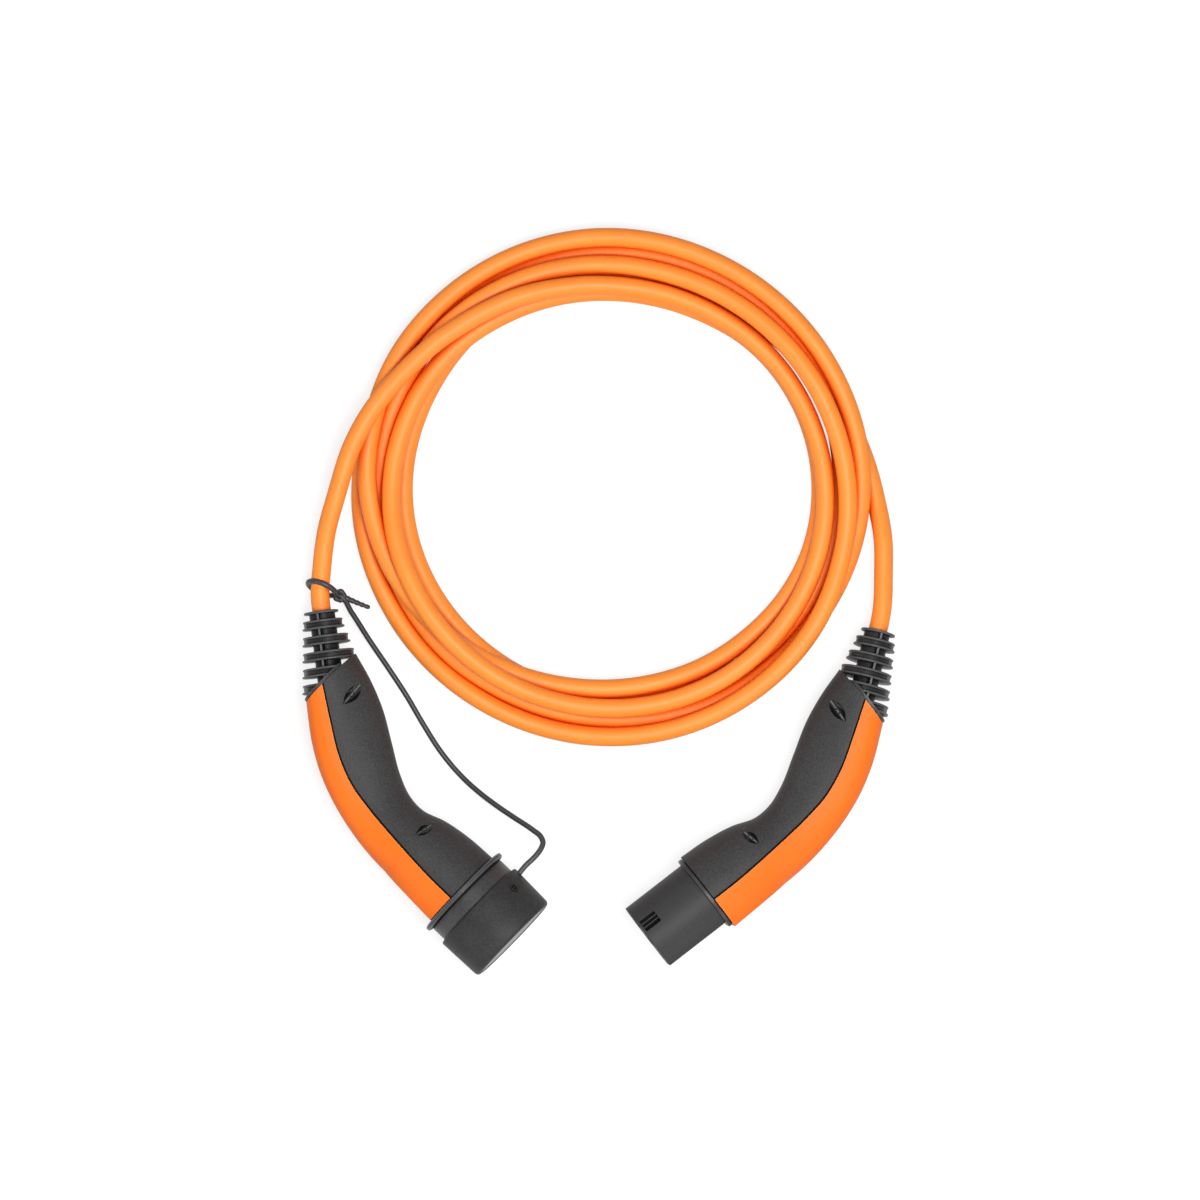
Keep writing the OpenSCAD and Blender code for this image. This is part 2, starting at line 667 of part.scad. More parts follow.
module vehicle_front_shell() { color(black) on_vehicle() front_shell(); }
module vehicle_back_shell() { color(orange) on_vehicle() back_shell(); }
module vehicle_nose() { color(black) on_vehicle() nose(); }
module vehicle_seal() { color(rubber) on_vehicle() seal(0, 2.4); }
module vehicle_contact(c) { color(silver) on_vehicle() socket_contact(c); }
module vehicle_contact_holder() { color(white) on_vehicle() contact_holder(); }
module vehicle_clamp_base() { color(white) on_vehicle() clamp_base(); }
module vehicle_clamp_strap() { color(white) on_vehicle() clamp_strap(); }
module vehicle_clamp_screws() { color(steel) on_vehicle() clamp_screws(); }
module vehicle_housing_screws() { color(steel) on_vehicle() housing_screws(); }
module vehicle_cores() { color(white) on_vehicle() cores(); }
module vehicle_boot() { color(rubber) on_vehicle() boot(); }
module plug_front_shell() { color(black) on_plug() front_shell(); }
module plug_back_shell() { color(orange) on_plug() back_shell(); }
module plug_shroud() { color(black) on_plug() shroud(); }
module plug_seal() { color(rubber) on_plug() seal(cap_x, 1.5); }
module plug_contact(c) { color(silver) on_plug() pin_contact(c); }
module plug_contact_holder() { color(white) on_plug() contact_holder(); }
module plug_clamp_base() { color(white) on_plug() clamp_base(); }
module plug_clamp_strap() { color(white) on_plug() clamp_strap(); }
module plug_clamp_screws() { color(steel) on_plug() clamp_screws(); }
module plug_housing_screws() { color(steel) on_plug() housing_screws(); }
module plug_cores() { color(white) on_plug() cores(); }
module plug_boot() { color(rubber) on_plug() boot(); }
module plug_dust_cap() { color(black) on_plug() dust_cap(); }
module cap_lanyard() {
  color(rubber) {
    tube(strap_route, lanyard_r, 8);
    translate(loop_at) rotate([90, 0, loop_turn]) rotate_extrude() translate([loop_r, 0])
      circle(r = lanyard_r);
    tube(tail_route, lanyard_r, 8);
    translate(eye_at) rotate_extrude() translate([eye_r, 0]) circle(r = lanyard_r);
  }
}
module cable_coil() {
  r0 = coil_inner_r;
  r1 = coil_outer_r;
  c = coil_corner;
  h = coil_height;
  color(orange) translate([coil_centre[0], coil_centre[1], 0]) rotate_extrude($fn = 96)
    polygon([[r0, c], [r0 + c, 0], [r1 - c, 0], [r1, c], [r1, h - c], [r1 - c, h],
      [r0 + c, h], [r0, h - c]]);
}
module cable_tail_vehicle() {
  color(orange) tube(concat([for (q = [jacket_end, 0, -boot_length, -boot_length - 14])
    on_v(cable_point(q))], vehicle_route), cable_r, 12);
}
module cable_tail_plug() {
  color(orange) tube(concat([for (q = [jacket_end, 0, -boot_length, -boot_length - 8])
    on_p(cable_point(q))], plug_route), cable_r, 12);
}

vehicle_front_shell();
vehicle_back_shell();
vehicle_nose();
vehicle_seal();
vehicle_contact(0);  // vehicle_contact_l1
vehicle_contact(1);  // vehicle_contact_l2
vehicle_contact(2);  // vehicle_contact_l3
vehicle_contact(3);  // vehicle_contact_n
vehicle_contact(4);  // vehicle_contact_pe
vehicle_contact(5);  // vehicle_contact_cp
vehicle_contact(6);  // vehicle_contact_pp
vehicle_contact_holder();
vehicle_clamp_base();
vehicle_clamp_strap();
vehicle_clamp_screws();
vehicle_housing_screws();
vehicle_cores();
vehicle_boot();
plug_front_shell();
plug_back_shell();
plug_shroud();
plug_seal();
plug_contact(0);  // plug_contact_l1
plug_contact(1);  // plug_contact_l2
plug_contact(2);  // plug_contact_l3
plug_contact(3);  // plug_contact_n
plug_contact(4);  // plug_contact_pe
plug_contact(5);  // plug_contact_cp
plug_contact(6);  // plug_contact_pp
plug_contact_holder();
plug_clamp_base();
plug_clamp_strap();
plug_clamp_screws();
plug_housing_screws();
plug_cores();
plug_boot();
plug_dust_cap();  // dust_cap
cap_lanyard();
cable_coil();
cable_tail_vehicle();
cable_tail_plug();
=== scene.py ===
import math

import bmesh
import bpy
import numpy as np
from mathutils import Matrix, Vector


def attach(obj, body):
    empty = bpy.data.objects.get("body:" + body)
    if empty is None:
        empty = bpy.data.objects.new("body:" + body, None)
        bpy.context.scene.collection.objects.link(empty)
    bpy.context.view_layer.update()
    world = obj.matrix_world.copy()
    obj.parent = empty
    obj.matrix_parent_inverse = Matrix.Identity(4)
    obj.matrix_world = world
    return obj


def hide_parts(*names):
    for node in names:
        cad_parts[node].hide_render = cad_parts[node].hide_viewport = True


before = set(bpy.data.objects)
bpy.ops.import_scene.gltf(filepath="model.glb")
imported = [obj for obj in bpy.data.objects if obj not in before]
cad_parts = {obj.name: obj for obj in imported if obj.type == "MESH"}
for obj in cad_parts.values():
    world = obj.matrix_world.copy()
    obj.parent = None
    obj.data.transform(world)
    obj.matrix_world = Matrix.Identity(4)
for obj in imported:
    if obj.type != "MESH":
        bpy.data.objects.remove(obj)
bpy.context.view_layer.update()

# Lengths below are in millimetres, in the part's frame; meshes are scaled to metres when made.
MM = 0.001
CABLE_D = 13.0
CABLE_R = CABLE_D / 2
JACKET_R = CABLE_R + 0.12
SEAL_T = 3.4
NOSE_R = 28.0
NOSE_FLAT = 21.7
NOSE_LENGTH = 49.3
COLLAR_R = NOSE_R + 4.6
WALL = 2.8
REAR_X = -171.5
REAR_HALF = 25.5
CAP_LIP_R = 36.8
CAP_X = -1.0
CAP_LENGTH = 48.2
LANYARD_D = 3.5


# Placing: each connector has its own frame, x along its nose, y to the orange shell
def connector_matrix(origin_xy, heading, front_r, front_x, flipped):
    """The connector lies on its front support and on the rear of its handle."""
    pitch = math.atan((front_r - REAR_HALF) / (front_x - REAR_X))
    z = front_r * math.cos(pitch) - front_x * math.sin(pitch)
    m = Matrix.Translation((origin_xy[0], origin_xy[1], z))
    m = m @ Matrix.Rotation(math.radians(heading), 4, "Z") @ Matrix.Rotation(-pitch, 4, "Y")
    return m @ Matrix.Rotation(math.pi, 4, "X") if flipped else m


VEHICLE = connector_matrix((75.3, -73.9), 217.7, COLLAR_R, -SEAL_T, False)
PLUG = connector_matrix((-93.8, -72.1), -44.06, CAP_LIP_R, CAP_X, True)
BOOT_P = (REAR_X, -43.0)
BOOT_ANGLE = math.radians(38.5)
BOOT_LENGTH = 48.5
BOOT_SAG = {"vehicle": -4.5, "plug": 0.0}


def along_cable(side):
    """From the boot's frame, x along the cable into the handle, to the connector's frame."""
    m = Matrix.Translation((*BOOT_P, 0)) @ Matrix.Rotation(BOOT_ANGLE, 4, "Z")
    return m @ Matrix.Rotation(math.radians(BOOT_SAG[side]), 4, "Y")


# Camera: straight above, its picture as wide as the photograph
PHOTO_MM = 840.0
LOOK_AT = Vector((1.6, 133.6, 20.0))
CAMERA_HEIGHT = 5000.0
SENSOR_WIDTH = 36.0


def make_camera():
    data = bpy.data.cameras.new("camera")
    data.sensor_width = SENSOR_WIDTH
    data.lens = SENSOR_WIDTH * CAMERA_HEIGHT / PHOTO_MM
    data.clip_end = 50.0
    camera = linked("camera", data)
    camera.location = (LOOK_AT + Vector((0, 0, CAMERA_HEIGHT))) * MM
    bpy.context.scene.camera = camera


# Materials
WHITE = (1.0, 1.0, 1.0, 1.0)
NOISE_SPAN = (0.3, 0.7)
GLOSS_SPREAD = 0.08
RELIEF_DEPTH = 0.0002


def node(tree, kind, **sockets):
    n = tree.nodes.new(kind)
    for name, value in sockets.items():
        n.inputs[name.replace("_", " ")].default_value = value
    return n


def ranged(tree, source, to_min, to_max, low=0.0, high=1.0):
    """A value between low and high, mapped to a new range."""
    n = node(tree, "ShaderNodeMapRange", From_Min=low, From_Max=high, To_Min=to_min, To_Max=to_max)
    tree.links.new(source, n.inputs["Value"])
    return n.outputs["Result"]


def mixed(tree, kind, a, b, factor):
    """Result of a colour mix; each input is a plain value or the output of another node."""
    mix = tree.nodes.new("ShaderNodeMix")
    mix.data_type = "RGBA"
    mix.blend_type = kind
    for name, value in (("Factor", factor), ("A", a), ("B", b)):
        if isinstance(value, bpy.types.NodeSocket):
            tree.links.new(value, mix.inputs[name])
        else:
            mix.inputs[name].default_value = value
    return mix.outputs["Result"]


def noise(tree, scale, detail):
    """Noise in the space of the object."""
    place = tree.nodes.new("ShaderNodeTexCoord")
    n = node(tree, "ShaderNodeTexNoise", Scale=scale, Detail=detail, Roughness=0.6)
    tree.links.new(place.outputs["Object"], n.inputs["Vector"])
    return n.outputs["Fac"]


def painted_hollow_shade(tree, shader, specular, tint, reach_mm, low, high):
    """Painted shade: closed-in spots take on the tint and lose their shine too; low and high span
    the openness.
    """
    n = node(tree, "ShaderNodeAmbientOcclusion", Distance=reach_mm * MM)
    n.samples = 4
    openness = n.outputs["AO"]
    shine = ranged(tree, openness, specular * min(tint), specular, low, high)
    tree.links.new(shine, shader.inputs["Specular IOR Level"])
    return mixed(tree, "MIX", (*tint, 1.0), WHITE, ranged(tree, openness, 0.0, 1.0, low, high))


def material(name, color, rough, grain=1400.0, bump=0.08, spread=0.08, speckle=0.1, metal=0.0,
             specular=0.5, blotch=35.0, hollow=None):
    """Moulded or metal surface: fine grain in colour, gloss and relief, slow colour change.
    hollow paints shade into closed-in spots; it holds what the painted-shade function takes after
    the shine: tint, reach in mm, low and high."""
    m = bpy.data.materials.new(name)
    m.use_nodes = True
    t = m.node_tree
    shader = t.nodes["Principled BSDF"]
    shader.inputs["Metallic"].default_value = metal
    shader.inputs["Specular IOR Level"].default_value = specular
    fine = noise(t, grain, 3.0)
    slow = noise(t, blotch, 4.0)
    tones = [ranged(t, source, 1.0 - share, 1.0 + share, *NOISE_SPAN)
             for source, share in ((slow, spread), (fine, speckle))]
    # Painted shade: closed-in spots darken towards a tint and lose their shine.
    if hollow:
        tones.append(painted_hollow_shade(t, shader, specular, *hollow))
    shade = (*color, 1.0)
    for tone in tones:
        shade = mixed(t, "MULTIPLY", shade, tone, 1.0)
    t.links.new(shade, shader.inputs["Base Color"])
    gloss = ranged(t, fine, rough - GLOSS_SPREAD, rough + GLOSS_SPREAD)
    t.links.new(gloss, shader.inputs["Roughness"])
    relief = node(t, "ShaderNodeBump", Strength=bump, Distance=RELIEF_DEPTH)
    t.links.new(fine, relief.inputs["Height"])
    t.links.new(relief.outputs["Normal"], shader.inputs["Normal"])
    return m


BLACK = material("grip_black", (0.036, 0.035, 0.036), 0.55, grain=1000, bump=0.35, spread=0.12,
                 speckle=0.5, specular=0.2)
# Near-black on the walls of the screw pockets: painted shade.
POCKET_SHADE = material("pocket_black", (0.007, 0.007, 0.007), 0.3, grain=1200, bump=0.1,
                        speckle=0.3, specular=0.2)
# Near-black for the seam's groove, the nose's notch and its bores: painted shade.
SHADE_BLACK = material("deep_black", (0.008, 0.008, 0.008), 0.7, speckle=0.3, specular=0.05)
NOSE_BLACK = material("nose_black", (0.033, 0.033, 0.034), 0.52, grain=1200, bump=0.15,
                      speckle=0.3, specular=0.2)
# Darker copy of the nose black for the ribs down in the notch: painted shade.
RIB_SHADE = material("rib_black", (0.022, 0.022, 0.022), 0.5, specular=0.2)
# Cap black, with painted shade in its hollows.
CAP_BLACK = material("cap_black", (0.025, 0.025, 0.026), 0.55, grain=900, bump=0.4, spread=0.25,
                     speckle=0.5, specular=0.22, blotch=60.0,
                     hollow=((0.2, 0.2, 0.2), 3, 0.5, 0.97))
# Lighter copy of the cap black for the neck: painted highlight, with painted shade in its hollows.
CAP_NECK = material("cap_neck", (0.04, 0.04, 0.042), 0.45, grain=900, bump=0.3, spread=0.3,
                    speckle=0.5, specular=0.35, hollow=((0.2, 0.2, 0.2), 2, 0.5, 0.97))
# Lighter copy of the cap black for the flat face: painted highlight.
CAP_FACE_LIT = material("cap_face", (0.05, 0.05, 0.052), 0.34, grain=900, bump=0.2, speckle=0.3,
                    specular=0.55)
# Boot rubber, with painted shade in its grooves and windows.
RUBBER = material("boot_rubber", (0.034, 0.034, 0.036), 0.4, grain=1600, bump=0.15, speckle=0.15,
                  specular=0.3, hollow=((0.15, 0.15, 0.15), 4, 0.5, 1.0))
# Lighter copy of the boot rubber: painted highlight on the flange rims, the ribs, the plate's edges
# and the cap's lip.
RUBBER_HIGHLIGHT = material("rim_rubber", (0.062, 0.062, 0.066), 0.4, grain=1600, bump=0.15,
                      speckle=0.15, specular=0.35)
STRAP = material("strap_rubber", (0.03, 0.031, 0.033), 0.42, grain=1500, bump=0.15,
                 specular=0.4)
ORANGE = material("grip_orange", (0.96, 0.175, 0.014), 0.5, grain=1300, bump=0.12, spread=0.03,
                  speckle=0.05, specular=0.15)
# Lighter orange for the rounded edges of the back shell: painted highlight.
ORANGE_HIGHLIGHT = material("edge_orange", (1.0, 0.48, 0.14), 0.45, grain=1300, speckle=0.05,
                       specular=0.3)
# Cable jacket, with painted shade between the turns, reddened like light bounced between them.
JACKET = material("cable_jacket", (0.97, 0.265, 0.024), 0.52, grain=900, bump=0.1, spread=0.04,
                  speckle=0.06, specular=0.5, blotch=50.0, hollow=((0.8, 0.24, 0.12), 9, 0.2, 0.72))
SILVER = material("contact_silver", (0.8, 0.79, 0.76), 0.3, metal=1.0, bump=0.05, spread=0.05)
STEEL = material("screw_steel", (0.35, 0.35, 0.36), 0.38, metal=1.0, bump=0.1)
# Near-black steel, for the housing screws.
DARK_STEEL = material("blackened_steel", (0.014, 0.014, 0.015), 0.55, metal=0.2, bump=0.1,
                      specular=0.15)
NYLON = material("nylon", (0.72, 0.72, 0.68), 0.55, bump=0.1, spread=0.04)
CORE = material("core_insulation", (0.3, 0.22, 0.16), 0.45, bump=0.08)


def paint_cad_nodes():
    """Materials of the CAD pieces that show as they are."""
    wanted = {"contact_holder": NYLON, "clamp_base": NYLON, "clamp_strap": NYLON,
              "clamp_screws": STEEL, "housing_screws": DARK_STEEL, "cores": CORE,
              "shroud": NOSE_BLACK}
    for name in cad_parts:
        short = name.replace("vehicle_", "").replace("plug_", "")
        chosen = wanted.get(short, SILVER if "contact" in name else None)
        obj = bpy.data.objects.get(name)
        if obj is not None and chosen is not None:
            obj.data.materials.clear()
            obj.data.materials.append(chosen)


# Mesh helpers
SHARP = 35.0


def linked(name, data):
    """A new object in the scene."""
    obj = bpy.data.objects.new(name, data)
    bpy.context.collection.objects.link(obj)
    return obj


def closed_mesh(name, points, faces, place):
    """A mesh from points in millimetres, placed by a matrix, its faces looking outwards."""
    mesh = bpy.data.meshes.new(name)
    mesh.from_pydata([(place @ Vector(p)) * MM for p in points], [], [list(f) for f in faces])
    bm = bmesh.new()
    bm.from_mesh(mesh)
    bmesh.ops.recalc_face_normals(bm, faces=bm.faces)
    bm.to_mesh(mesh)
    bm.free()
    return mesh


def piece(name, points, faces, mat, place=Matrix.Identity(4), node=(), slot=None, sharp=SHARP):
    """A piece that rides on the root body and stands for the CAD nodes named in node."""
    mesh = closed_mesh(name, points, faces, place)
    mesh.materials.append(mat)
    mesh.shade_smooth()
    mesh.set_sharp_from_angle(angle=math.radians(sharp))
    obj = linked(name, mesh)
    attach(obj, "root")
    if node:
        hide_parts(*node)
    return obj


def ring_faces(rings, n):
    """Quads between consecutive rings of n points each."""
    return [(i * n + j, i * n + (j + 1) % n, (i + 1) * n + (j + 1) % n, (i + 1) * n + j)
            for i in range(rings - 1) for j in range(n)]


def loft(rings):
    """Solid through rings of equally many points, closed by its first and last ring."""
    n = len(rings[0])
    last = (len(rings) - 1) * n
    faces = ring_faces(len(rings), n)
    faces += [tuple(range(n)), tuple(last + j for j in range(n))]
    return [p for ring in rings for p in ring], faces


def tube(path, radius, sides=16, ref=(0, 0, 1)):
    """Round tube along a path; ref is a direction that the path never follows."""
    path = np.asarray(path, float)
    tangent = np.gradient(path, axis=0)
    tangent /= np.linalg.norm(tangent, axis=1)[:, None]
    side = np.cross(np.asarray(ref, float), tangent)
    side /= np.linalg.norm(side, axis=1)[:, None]
    up = np.cross(tangent, side)
    turn = np.linspace(0, 2 * math.pi, sides, endpoint=False)[:, None]
    r = np.broadcast_to(np.asarray(radius, float), len(path))
    rings = [path[i] + r[i] * (np.cos(turn) * side[i] + np.sin(turn) * up[i])
             for i in range(len(path))]
    return loft([[tuple(p) for p in ring] for ring in rings])


def joined(*parts):
    """Several (points, faces) shapes as one."""
    points, faces = [], []
    for more_points, more_faces in parts:
        shift = len(points)
        points += [tuple(p) for p in more_points]
        faces += [tuple(k + shift for k in f) for f in more_faces]
    return points, faces


def turned_solid(rings):
    """Closed profiles one after the other round an axis, the last joined to the first."""
    n = len(rings[0])
    last = (len(rings) - 1) * n
    faces = ring_faces(len(rings), n)
    faces += [(last + j, last + (j + 1) % n, (j + 1) % n, j) for j in range(n)]
    return [p for ring in rings for p in ring], faces


def turns(sides):
    """Angles spaced evenly round a circle."""
    return [2 * math.pi * k / sides for k in range(sides)]


def lathe(profile, sides):
    """Hollow solid turned about x from a closed profile of (x, r) points."""
    return turned_solid([[(x, r * math.cos(a), r * math.sin(a)) for x, r in profile]
                         for a in turns(sides)])


def turned(profile, sides, y=0.0, z=0.0):
    """Solid turned about a line along x from an open profile of (x, r) points."""
    return loft([[(x, y + r * math.cos(a), z + r * math.sin(a)) for a in turns(sides)]
                 for x, r in profile])


def box(lo, hi):
    """Block between two opposite corners."""
    points = [(x, y, z) for x in (lo[0], hi[0]) for y in (lo[1], hi[1]) for z in (lo[2], hi[2])]
    faces = [(0, 1, 3, 2), (4, 5, 7, 6), (0, 1, 5, 4), (2, 3, 7, 6), (0, 2, 6, 4), (1, 3, 7, 5)]
    return points, faces


def moved(part, matrix):
    return [tuple(matrix @ Vector(p)) for p in part[0]], part[1]


def bevel(obj, width, segments=2, angle=38.0, mat=None):
    """Rounded edges; mat is for the faces of the rounding."""
    m = obj.modifiers.new("bevel", "BEVEL")
    if mat:
        obj.data.materials.append(mat)
        m.material = len(obj.data.materials) - 1
    m.width = width * MM
    m.segments = segments
    m.limit_method = "ANGLE"
    m.angle_limit = math.radians(angle)
    m.harden_normals = True


def combine(obj, parts, place, operation="DIFFERENCE", mat=None):
    """Takes closed shapes out of an object, or adds them; mat is for the faces they leave."""
    mesh = closed_mesh("tool", *joined(*parts), place)
    if mat:
        slots = obj.data.materials
        if mat.name not in slots:
            slots.append(mat)
        for m in slots:
            mesh.materials.append(m)
        for face in mesh.polygons:
            face.material_index = slots.find(mat.name)
    tool = linked("tool", mesh)
    m = obj.modifiers.new("combine", "BOOLEAN")
    m.operation = operation
    m.solver = "EXACT"
    m.use_self = len(parts) > 1
    m.object = tool
    bpy.context.view_layer.update()
    done = bpy.data.meshes.new_from_object(
        obj.evaluated_get(bpy.context.evaluated_depsgraph_get()))
    obj.modifiers.remove(m)
    obj.data = done
    done.set_sharp_from_angle(angle=math.radians(SHARP))
    bpy.data.objects.remove(tool)


# Smooth curves through given points
def spline(x, xs, ys):
    """Cubic curve through (xs, ys), read at x."""
    xs, ys = np.asarray(xs, float), np.asarray(ys, float)
    slope = np.gradient(ys, xs)
    i = np.clip(np.searchsorted(xs, x) - 1, 0, len(xs) - 2)
    w = xs[i + 1] - xs[i]
    t = (x - xs[i]) / w
    return ((2 * t**3 - 3 * t**2 + 1) * ys[i] + (t**3 - 2 * t**2 + t) * w * slope[i]
            + (3 * t**2 - 2 * t**3) * ys[i + 1] + (t**3 - t**2) * w * slope[i + 1])


def run_along(path):
    """Length of the way from the start of a path to each of its points."""
    return np.r_[0, np.cumsum(np.linalg.norm(np.diff(path, axis=0), axis=1))]


def smooth_path(points, step):
    """Evenly spaced points on a smooth curve through the given ones."""
    points = np.asarray(points, float)
    run = run_along(points)
    dense = np.linspace(0, run[-1], max(4 * len(points), int(run[-1] / step * 4)))
    curve = np.stack([spline(dense, run, points[:, k]) for k in range(3)], axis=1)
    length = run_along(curve)
    even = np.linspace(0, length[-1], int(length[-1] / step) + 1)
    return np.stack([np.interp(even, length, curve[:, k]) for k in range(3)], axis=1)


# The cable: rows of angle in degrees and radius about the coil's centre
COIL_CENTRE = np.array([8.6, 211.3])
COIL = [
    (-2.5, 187), (6, 180.5), (14, 175), (24, 168), (36, 161), (60, 155.5), (90, 153.5),
    (120, 148.5), (150, 145), (180, 145), (243, 145), (260, 147), (280, 149.5), (310, 155.5),
    (326, 159), (345, 160.5), (360, 162.5),
    (390, 165), (450, 166.5), (490, 166.5), (520, 172), (540, 175), (570, 174.5), (600, 173.5),
    (660, 173.5), (690, 171.5), (700, 169.5), (720, 166),
    (740, 162), (765, 158), (780, 156.5), (795, 156), (810, 157), (830, 159), (850, 161),
    (880, 162.5), (900, 162.5), (930, 161.5), (990, 161.5), (1020, 166.5), (1050, 171.5),
    (1065, 174.5), (1085, 176.5), (1110, 175.5), (1140, 175), (1180, 176.5), (1210, 176),
    (1230, 175), (1242, 173), (1255, 171), (1270, 166), (1280, 162.5), (1295, 156), (1306, 152),
    (1321, 146), (1338, 141.5), (1361, 139.5), (1377, 140.5), (1392, 142), (1408, 145),
    (1420, 147), (1440, 148),
    (1465, 146.5), (1490, 143), (1500, 140.5), (1520, 138.5), (1540, 139.5), (1560, 142.5),
    (1580, 147.5), (1600, 150.5), (1620, 153), (1665, 153.5), (1710, 153.5), (1740, 154.5),
    (1770, 153.5), (1800, 150.5),
    (1830, 146.5), (1845, 144.5), (1860, 142.5), (1890, 142.5), (1900, 144), (1920, 150),
    (1930, 153.5), (1940, 159), (1950, 165), (1960, 173.5), (1970, 182),
]
# This stretch was laid down after the turn that slips out under it
LAID_LATE = (590, 775)
LAID_LATE_ORDER = 1120
COIL_STEP = 2.5
COIL_THINNED = 3
STRAND_D = CABLE_D + 0.4
SAME_STRAND = 60
SETTLE_ROUNDS = 12
SETTLE_BLUR, LAST_BLUR = 4, 2
CABLE_STEP = 5.0
# Points between the coil and the boots, then distances into each boot
VEHICLE_TAIL = [(199.2, 128, 18.3), (200.2, 150.5, 15.2), (200, 176.5, 12)]
PLUG_TAIL = [(-182.6, 206.5, 32.5), (-189.6, 181, 28.5), (-192.8, 157, 25.5)]
IN_BOOT = (14, 0, -8)


def blurred(values, spread):
    """Gaussian blur over a row of values."""
    reach = int(3 * spread) + 1
    weight = np.exp(-0.5 * (np.arange(-reach, reach + 1) / spread) ** 2)
    return np.convolve(np.pad(values, reach, mode="edge"), weight / weight.sum(), "valid")


def coil_points():
    """Each turn rests on the floor or on the turns that were laid before it."""
    angle = np.arange(COIL[0][0], COIL[-1][0] + 0.1, COIL_STEP)
    radius = spline(angle, *zip(*COIL))
    turn = np.radians(angle)
    flat = COIL_CENTRE + radius[:, None] * np.stack([np.cos(turn), np.sin(turn)], axis=1)
    run = run_along(flat)
    order = np.where((angle > LAID_LATE[0]) & (angle < LAID_LATE[1]), LAID_LATE_ORDER, angle)
    apart2 = ((flat[:, None] - flat[None]) ** 2).sum(axis=2)
    lies_on = (order[:, None] > order[None]) & (apart2 < STRAND_D**2)
    lies_on &= np.abs(run[:, None] - run[None]) > SAME_STRAND
    rise = np.sqrt(np.maximum(STRAND_D**2 - apart2, 0))
    z = np.full(len(angle), CABLE_R)
    for _ in range(SETTLE_ROUNDS):
        needed = np.where(lies_on, z[None] + rise, CABLE_R).max(axis=1)
        z = np.maximum(blurred(needed, SETTLE_BLUR), needed)
    return np.column_stack([flat, blurred(z, LAST_BLUR)])


def cable_end(side, matrix):
    """Three points on the axis of the boot, the first inside it."""
    return [tuple(matrix @ along_cable(side) @ Vector((q - BOOT_LENGTH, 0, 0)))
            for q in IN_BOOT]


def make_cable():
    start, end = cable_end("vehicle", VEHICLE), cable_end("plug", PLUG)[::-1]
    coil = coil_points()[::COIL_THINNED]
    path = smooth_path(np.concatenate([start, VEHICLE_TAIL, coil, PLUG_TAIL, end]), CABLE_STEP)
    shape = tube(path, JACKET_R, sides=32)
    obj = piece("charging_cable", *shape, JACKET,
                node=("cable_coil", "cable_tail_vehicle", "cable_tail_plug"), slot="cable_jacket")


# Lanyard: strap from the cap, on the floor, round the cable and back through its own eye
CAP_Y = -2.0
CAP_BODY_R = CAP_LIP_R - 0.4
LANYARD_R = LANYARD_D / 2
STRAP_R = LANYARD_R + 0.2
EYE_AT = np.array([-180.7, 136.6, 20.0])
EYE_R = 3.1
EYE_WIRE_R, EYE_KNOB_H, EYE_KNOBS = 1.75, 0.25, 5
EYE_STEPS = 36
STRAP_STEP = 0.8
STRAP_ROOT_X, STRAP_ROOT_DEPTH = 18.6, 0.4
STRAP_ROUTE = [
    (-51, -52.5, 37.3), (-42.6, -44.1, 36), (-39.6, -39.9, 34.8), (-38.2, -35.7, 33.3),
    (-39.9, -31.5, 31.5), (-45.1, -27.3, 28.5), (-58.2, -18.9, 20.5), (-71, -10.5, 13),
    (-82.4, -2.1, 7), (-93.6, 7.7, 3), (-102.7, 17.5, 2), (-110.4, 27.3, 2),
    (-122.9, 46.9, 2), (-134.4, 66.5, 2.2), (-147.2, 86.1, 4), (-160.4, 105.7, 8.5),
    (-172.2, 124.5, 15),
]
LOOP_AT = np.array([-193.0, 141.8, 21.8])
LOOP_R = CABLE_R + LANYARD_R + 2
LOOP_TURN, LOOP_LEAN = math.radians(-22.3), math.radians(20)
LOOP_STOPS = np.arange(-25, -336, -25)
STRAP_END = [(-181.2, 137.1, 21), (-174, 134, 18.5), (-167, 131, 15.5), (-160, 128.3, 12.5)]
BARB_RUN, BARB_PITCH, BARB_H = 23.0, 3.9, 0.45
BARB_TIP_R, BARB_TAPER, BARB_MAX_R = 1.15, 0.7, STRAP_R + 0.3


def loop_points():
    """Round the cable: down under it from the eye and back over it."""
    out = np.array([math.cos(LOOP_TURN), math.sin(LOOP_TURN), 0.0])
    up = np.array([-math.sin(LOOP_TURN) * math.sin(LOOP_LEAN),
                   math.cos(LOOP_TURN) * math.sin(LOOP_LEAN), math.cos(LOOP_LEAN)])
    return [LOOP_AT + LOOP_R * (math.cos(a) * out + math.sin(a) * up)
            for a in np.radians(LOOP_STOPS)]


def strap_radii(path):
    """Plain strap with a barbed end that tapers to a small bulb."""
    left = run_along(path[::-1])[::-1]
    share = np.clip(left / BARB_RUN, 0, 1)
    barbs = BARB_TIP_R + BARB_TAPER * share + BARB_H * np.abs(np.sin(np.pi * left / BARB_PITCH))
    return np.where(left < BARB_RUN, np.minimum(barbs, BARB_MAX_R), STRAP_R)


def make_eye():
    """Ring with a few soft knobs, in the plane of the floor."""
    turn = np.linspace(0, 2 * math.pi, EYE_STEPS + 1)
    around = [EYE_AT + EYE_R * np.array([math.cos(a), math.sin(a), 0]) for a in turn]
    knobs = [EYE_WIRE_R + EYE_KNOB_H * math.cos(EYE_KNOBS * a) for a in turn]
    return piece("strap_eye", *tube(around, knobs, sides=16), STRAP, slot="black_rubber",
                 sharp=60)


